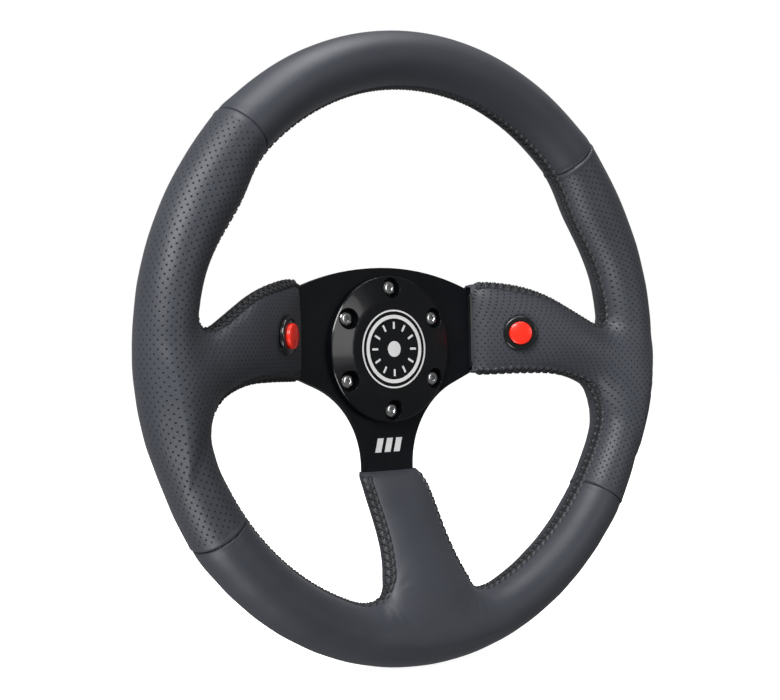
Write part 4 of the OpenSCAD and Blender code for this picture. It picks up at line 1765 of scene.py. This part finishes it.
@dataclass
class Hub:
    """Spoke plate, round cover, its screws and its printed emblem."""

    frame: dict
    paints: dict[str, bpy.types.Material]
    plate_edge: float = 0.7
    cover_edge: float = 0.45
    pcd: float = 70.0
    screws: int = 6
    seat: float = 5.2
    head_d: float = 9.5
    head_h: float = 2.75
    socket_af: float = 3.0
    socket_deep: float = 1.6
    thread_d: float = 5.0
    thread_pitch: float = 0.8
    thread_deep: float = 0.42
    screw_l: float = 16.0
    head_edge: float = 0.45
    head_arc: float = 54.0
    socket_edge: float = 0.18
    point_taper: float = 0.28

    def build(self) -> None:
        """Makes the hub's pieces and dresses the CAD nodes that show as they are."""
        plate = merged_copy(self.frame, "spoke_plate", "hub_plate")
        soften(plate, self.plate_edge, 3)
        finish_piece(plate, WHEEL, "plate_black", self.paints["plate"], "spoke_plate")
        cover = merged_copy(self.frame, "centre_cover", "round_cover")
        soften(cover, self.cover_edge, 3, 24.0)
        finish_piece(cover, WHEEL, "cover_black", self.paints["cover"], "centre_cover")
        finish_piece(self.screw_set(), WHEEL, "screw_bright", self.paints["screw"], "hub_screws")
        for node in ("cover_emblem", "plate_mark"):
            dress(self.frame, node, self.paints["print"])
        for node in ("rim_core", "rim_welds"):
            dress(self.frame, node, self.paints["alloy"])

    def screw_set(self) -> bpy.types.Object:
        """Six button-head screws.

        A head is a profile turned round the screw's axis, (r, h) along an arc, down to a six-sided socket
        whose radius follows a hexagon: af / 2 / cos((a mod 60) - 30), with angles in degrees. The thread's
        radius goes down and up once a pitch, as a triangle wave of the height less the turn's share of a
        pitch.

        Returns:
            The screws as one piece, in the frame.
        """
        around = 48
        a = full_turn(around)
        flat = np.zeros(around)
        hexagon = self.socket_af / 2.0 / np.cos(np.mod(a, np.pi / 3.0) - np.pi / 6.0)
        rise = np.radians(np.linspace(0.0, self.head_arc, 9))
        head_r = self.head_d / 2.0 * np.cos(rise)
        dome = self.head_h - self.head_edge
        head_z = self.head_edge + dome * np.sin(rise) / math.sin(math.radians(self.head_arc))
        rows = [(flat + r, flat + z) for r, z in zip(head_r, head_z)]
        rows.append((hexagon + self.socket_edge, flat + self.head_h))
        rows.append((hexagon, flat + self.head_h - self.socket_edge))
        rows.append((hexagon, flat + self.head_h - self.socket_deep))
        depth = np.linspace(-self.screw_l, -0.02, 120)[:, None]
        wave = np.abs(np.mod(depth / self.thread_pitch - a / (2.0 * np.pi), 1.0) - 0.5) * 2.0
        root = self.thread_d / 2.0 - self.thread_deep
        body = root + self.thread_deep * wave
        taper = smooth_step(-self.screw_l + self.thread_pitch, -self.screw_l, depth)
        body = body * (1.0 - self.point_taper * taper)
        low = [(body[i], flat + depth[i]) for i in range(len(depth))]
        low.append((flat + self.head_d / 2.0 - 0.25, flat))
        low.append((flat + self.head_d / 2.0, flat + 0.2))
        rows = low + rows
        r = np.array([row[0] for row in rows])
        z = np.array([row[1] for row in rows]) + self.seat
        one = np.stack([r * np.cos(a), r * np.sin(a), z], axis=-1).reshape(-1, 3)
        quads = grid_faces(len(rows), around).tolist()
        quads.append(list(range(around))[::-1])
        quads.append(list(range((len(rows) - 1) * around, len(rows) * around)))
        verts, faces = [], []
        for k in range(self.screws):
            t = math.radians(30.0 + 360.0 / self.screws * k)
            turn = math.radians(17.0 * k)
            c, q = math.cos(turn), math.sin(turn)
            spin = np.array([[c, -q, 0.0], [q, c, 0.0], [0.0, 0.0, 1.0]])
            shift = np.array([self.pcd / 2.0 * math.cos(t), self.pcd / 2.0 * math.sin(t), 0.0])
            base = k * len(one)
            verts.append(one @ spin.T + shift)
            faces += [[i + base for i in f] for f in quads]
        piece = new_object("cover_screws", to_frame(np.concatenate(verts)), faces)
        face_outwards(piece)
        set_sharp(piece, 40.0)
        return piece


def dress(frame: dict, node: str, material: bpy.types.Material) -> None:
    """Gives a CAD node that shows as it is its material.

    Args:
        node: Name of the CAD node.
        material: Its material.
    """
    shown = frame["nodes"][node]
    shown.data.materials.clear()
    shown.data.materials.append(material)


# ---------------------------------------------------------------------------------------------
# Push buttons
# ---------------------------------------------------------------------------------------------


@dataclass
class PushButton:
    """One push button: bezel with a threaded barrel, lock nut, red cap, return spring and contacts.

    Heights are counted from the bezel's face along the button's axis, so what lies inside is negative.
    """

    frame: dict
    paints: dict[str, bpy.types.Material]
    seat: ButtonSeat
    side: Side
    bezel_r: float = 10.1
    bezel_h: float = 2.4
    barrel_r: float = 7.9
    bore_r: float = 6.83
    bore_end: float = 6.0
    guide_t: float = 1.6
    stem_r: float = 2.08
    chamber_r: float = 5.3
    body_end: float = 16.1
    cap_r: float = 6.75
    cap_h: float = 3.0
    cap_floor: float = 3.6
    coil_r: float = 3.6
    wire_r: float = 0.3
    turns: float = 5.0
    travel: float = 2.0
    nut_top: float = 12.9
    nut_h: float = 2.6
    nut_corners: float = 21.0
    cap_under: float = 0.4
    thread_deep: float = 0.4

    def build(self) -> None:
        """Makes the button's pieces and dresses its CAD nodes."""
        label = self.side.label
        place = self.seat.place(self.side)
        body = f"{label}_button"
        finish_piece(self.shell(f"{label}_bezel", place), WHEEL, "button_black", self.paints["bezel"],
                     f"{label}_button_body")
        finish_piece(self.cap(f"{label}_red_cap", place), body, "cap_red", self.paints["cap"],
                     f"{label}_button_cap")
        finish_piece(self.nut(f"{label}_lock_nut", place), WHEEL, "button_black", self.paints["bezel"],
                     f"{label}_button_nut")
        spring = self.spring(f"{label}_return_spring", place)
        finish_piece(spring, WHEEL, "spring_steel", self.paints["spring"], f"{label}_button_spring")
        axis = to_frame(self.seat.axis(self.side)[None, :])[0] / MM
        floor = self.seat.centre(self.side) - self.bore_end * self.seat.axis(self.side)
        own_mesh(spring)
        shown = (("stem", "stem"), ("contact", "brass"), ("base", "bezel"), ("terminals", "brass"))
        for part, paint in shown:
            dress(self.frame, f"{label}_button_{part}", self.paints[paint])

    def shell(self, name: str, place: Matrix) -> bpy.types.Object:
        """Bezel and barrel: one closed profile turned round the axis, with a thread of rings outside.

        Args:
            name: Name of the piece.
            place: Matrix that sets it in the drawing.

        Returns:
            The piece, in the frame.
        """
        ridge = np.arange(self.bezel_h + 0.8, self.body_end - 0.6, 1.0)
        crest = self.barrel_r - 0.05
        outside = [(self.barrel_r - 0.35, -self.body_end), (crest, -self.body_end + 0.3)]
        for depth in ridge[::-1]:
            outside += [(crest, -depth - 0.3), (crest - self.thread_deep, -depth)]
        outside.append((crest, -self.bezel_h))
        rim = arc_points(self.bezel_r - 1.0, -1.0, 1.0, 0.0, 76.0, 7)
        flange = [(self.bezel_r - 0.3, -self.bezel_h), (self.bezel_r, -self.bezel_h + 0.3)]
        lip = [(self.bore_r + 1.55, -0.04), (self.bore_r + 1.25, 0.0), (self.bore_r + 0.35, 0.0)]
        lip += arc_points(self.bore_r + 0.3, -0.3, 0.3, 90.0, 180.0, 4)
        guide_end = -self.bore_end - self.guide_t
        inside = [(self.bore_r, -self.bore_end), (self.stem_r, -self.bore_end), (self.stem_r, guide_end),
                  (self.chamber_r, guide_end), (self.chamber_r, -self.body_end)]
        profile = np.array(outside + flange + rim + lip + inside)
        piece = revolve(name, profile, 96, place, hollow=True)
        set_sharp(piece, 30.0)
        return piece

    def cap(self, name: str, place: Matrix) -> bpy.types.Object:
        """Domed cap: a cup whose top bulges by about eight tenths of a millimetre over a rounded edge.

        Args:
            name: Name of the piece.
            place: Matrix that sets it in the drawing.

        Returns:
            The piece, in the frame.
        """
        dome, edge = 0.75, 0.8
        shoulder = self.cap_h - dome - edge
        outside = [(self.cap_r, -self.cap_floor), (self.cap_r, shoulder)]
        outside += arc_points(self.cap_r - edge, shoulder, edge, 8.0, 72.0, 8)
        last_r, last_h = outside[-1]
        share = np.linspace(1.0, 0.0, 14)[1:-1]
        outside += [(last_r * s, last_h + (self.cap_h - last_h) * (1.0 - s * s)) for s in share]
        outside.append((0.02, self.cap_h))
        inner = self.cap_r - 1.5
        inside = [(0.02, -self.cap_under), (inner, -self.cap_under), (inner, -self.cap_floor)]
        profile = np.array(outside + inside)
        piece = revolve(name, profile, 96, place, hollow=True)
        set_sharp(piece, 40.0)
        return piece

    def nut(self, name: str, place: Matrix) -> bpy.types.Object:
        """Hexagon nut with chamfered corners: its radius is the smaller of a hexagon's and a cone's.

        Args:
            name: Name of the piece.
            place: Matrix that sets it in the drawing.

        Returns:
            The piece, in the frame.
        """
        around = 96
        a = full_turn(around)
        flat = self.nut_corners / 2.0 * math.cos(math.pi / 6.0)
        hexagon = flat / np.cos(np.mod(a, np.pi / 3.0) - np.pi / 6.0)
        top, low = -self.nut_top, -self.nut_top - self.nut_h
        rows = [(np.full(around, self.barrel_r), low), (np.full(around, flat - 0.3), low),
                (np.minimum(hexagon, flat + 0.35), low + 0.25), (hexagon, low + 0.85),
                (hexagon, top - 0.85), (np.minimum(hexagon, flat + 0.35), top - 0.25),
                (np.full(around, flat - 0.3), top), (np.full(around, self.barrel_r), top)]
        r = np.array([row[0] for row in rows])
        h = np.array([[row[1]] for row in rows])
        points = np.stack([r * np.cos(a), r * np.sin(a), h + 0.0 * r], axis=-1).reshape(-1, 3)
        faces = grid_faces(len(rows), around, wrap_rows=True)
        piece = new_object(name, to_frame(put_in_place(points, place)), faces)
        face_outwards(piece)
        set_sharp(piece, 30.0)
        return piece

    def spring(self, name: str, place: Matrix) -> bpy.types.Object:
        """Coil spring: a tube carried along a helix whose first and last half turn lie flat.

        Args:
            name: Name of the piece.
            place: Matrix that sets it in the drawing.

        Returns:
            The piece, in the frame.
        """
        steps, sides = 180, 10
        t = np.linspace(0.0, 1.0, steps)
        low = -self.bore_end + self.wire_r
        high = -self.cap_under - self.wire_r
        rise = np.clip((t * (self.turns + 1.0) - 0.5) / self.turns, 0.0, 1.0)
        a = 2.0 * np.pi * (self.turns + 1.0) * t
        path = np.stack([self.coil_r * np.cos(a), self.coil_r * np.sin(a), low + (high - low) * rise], axis=1)
        side = np.stack([np.cos(a), np.sin(a), np.zeros(steps)], axis=1)
        up = unit(np.cross(np.gradient(path, axis=0), side))
        b = full_turn(sides)
        ring = np.stack([np.cos(b), np.sin(b)], axis=-1) * self.wire_r
        verts, faces = sweep(path, side, up, np.broadcast_to(ring, (steps, sides, 2)))
        ends = [list(range(sides))[::-1], list(range((steps - 1) * sides, steps * sides))]
        piece = new_object(name, to_frame(put_in_place(verts, place)), faces.tolist() + ends)
        face_outwards(piece)
        return piece


# ---------------------------------------------------------------------------------------------
# Grip
# ---------------------------------------------------------------------------------------------


@dataclass
class Grip:
    """Leather, foam and lacing of the rim and the spokes."""

    paints: dict[str, bpy.types.Material]
    seat: ButtonSeat
    form: GripForm = field(default_factory=GripForm)
    panels: Panels = field(default_factory=Panels)

    def build(self) -> None:
        """Makes the soft pieces and hides the CAD nodes that they replace."""
        skin = GripSkin(self.form, self.panels, self.seat)
        for label, piece in skin.build().items():
            piece.name = f"wrap_{label}"
            finish_piece(piece, WHEEL, "leather", self.paints["leather"], f"leather_{label}")
        foam = skin.foam()
        finish_piece(foam, WHEEL, "foam", self.paints["foam"],
                     "rim_foam", "left_pad", "right_pad", "lower_pad")
        edges, lace = Lacing(self.form, self.panels).build()
        for piece in edges.values():
            # The laced edges take the darker leather, painted shade of the joint's crease.
            finish_piece(piece, WHEEL, "leather", self.paints["edge"])
        for number, piece in lace.items():
            finish_piece(piece, WHEEL, "thread", self.paints["thread"], f"stitches_{PANEL_NAMES[number]}")


# ---------------------------------------------------------------------------------------------
# Stage
# ---------------------------------------------------------------------------------------------


@dataclass
class Stage:
    """Pale floor, soft lights and the camera. A lamp is given as its name, place, width and power."""

    eye: tuple[float, float, float] = (-0.4988, -0.6737, 0.0012)
    ahead: tuple[float, float, float] = (0.5991, 0.8007, -0.0021)
    up: tuple[float, float, float] = (0.0175, -0.0105, 0.9998)
    lens: float = 67.08
    floor_z: float = -0.1755
    floor_half: float = 6.0
    surroundings: float = 0.17
    lamps: tuple[tuple[str, tuple[float, float, float], float, float], ...] = (
        ("upper_left", (-1.5, -0.9, 1.3), 1.1, 68.0),
        ("over_top", (0.1, -0.2, 1.9), 1.2, 32.0),
        ("left_low", (-1.3, -0.5, -1.2), 0.9, 26.0),
        ("front", (0.4, -1.9, 0.25), 0.7, 5.0))

    def build(self) -> None:
        """Makes the floor, the lights and the camera."""
        self.floor()
        self.lights()
        self.camera()

    def floor(self) -> None:
        """Flat pale floor under the wheel, which glows a little so that it keeps white, and casts nothing."""
        low, wide = self.floor_z, self.floor_half
        corners = np.array([[-wide, -wide, low], [wide, -wide, low], [wide, wide, low], [-wide, wide, low]])
        plane = new_object("floor", corners, [[0, 1, 2, 3]], smooth=False)
        paint = Paint("pale_floor")
        noise = paint.node("ShaderNodeTexNoise", Scale=3.0)
        paint.link(paint.place(), noise.inputs["Vector"])
        paint.link(paint.ramp(noise.outputs["Fac"], (0.86, 0.86, 0.86, 1), (0.9, 0.9, 0.9, 1)),
                   paint.shader.inputs["Base Color"])
        paint.fixed(Roughness=0.9, Emission_Color=(1.0, 1.0, 1.0, 1.0), Emission_Strength=0.9)
        plane.data.materials.append(paint.material)
        plane.visible_diffuse = False
        plane.visible_glossy = False
        plane.visible_shadow = False

    def lights(self) -> None:
        """White surroundings that light the wheel only weakly, and the soft lamps, all turned to the hub."""
        world = bpy.data.worlds.new("studio")
        world.use_nodes = True
        nodes, links = world.node_tree.nodes, world.node_tree.links
        seen = nodes.new("ShaderNodeLightPath")
        strength = nodes.new("ShaderNodeMapRange")
        strength.inputs["To Min"].default_value = self.surroundings
        strength.inputs["To Max"].default_value = 1.0
        links.new(seen.outputs["Is Camera Ray"], strength.inputs["Value"])
        links.new(strength.outputs[0], nodes["Background"].inputs["Strength"])
        nodes["Background"].inputs["Color"].default_value = (1.0, 1.0, 1.0, 1.0)
        bpy.context.scene.view_settings.view_transform = "Standard"
        bpy.context.scene.world = world
        for name, place, size, power in self.lamps:
            light = bpy.data.lights.new(name, "AREA")
            light.energy = power
            light.size = size
            lamp = bpy.data.objects.new(name, light)
            lamp.location = place
            lamp.rotation_mode = "QUATERNION"
            lamp.rotation_quaternion = (-Vector(place)).to_track_quat("-Z", "Y")
            bpy.context.scene.collection.objects.link(lamp)

    def camera(self) -> None:
        """Camera at eye height, to the driver's left."""
        data = bpy.data.cameras.new("camera")
        data.sensor_width = 36.0
        data.lens = self.lens
        data.clip_start = 0.01
        eye = bpy.data.objects.new("camera", data)
        back = -Vector(self.ahead).normalized()
        right = Vector(self.up).cross(back).normalized()
        top = back.cross(right)
        turn = Matrix((right, top, back)).transposed()
        eye.rotation_mode = "QUATERNION"
        eye.rotation_quaternion = turn.to_quaternion()
        eye.location = self.eye
        bpy.context.scene.collection.objects.link(eye)
        bpy.context.scene.camera = eye


def main() -> None:
    """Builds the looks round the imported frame."""
    logging.basicConfig(level=logging.INFO, format="%(name)s: %(message)s")
    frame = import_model()
    Stage().build()
    effects = Effects()
    paints = {key: finish.make(effects) for key, finish in FINISHES.items()}
    paints["leather"] = LeatherFinish().make(effects)
    # Darker copy of the leather for the laced edges: painted shade of the crease along the lacing joint.
    paints["edge"] = LeatherFinish(name="laced_edge_leather", dark=(0.013, 0.014, 0.018, 1.0),
                                   light=(0.024, 0.026, 0.032, 1.0)).make(effects)
    seat = ButtonSeat()
    Hub(frame, paints).build()
    for side in Side:
        PushButton(frame, paints, seat, side).build()
    Grip(paints, seat).build()


if __name__ == "__main__":
    main()
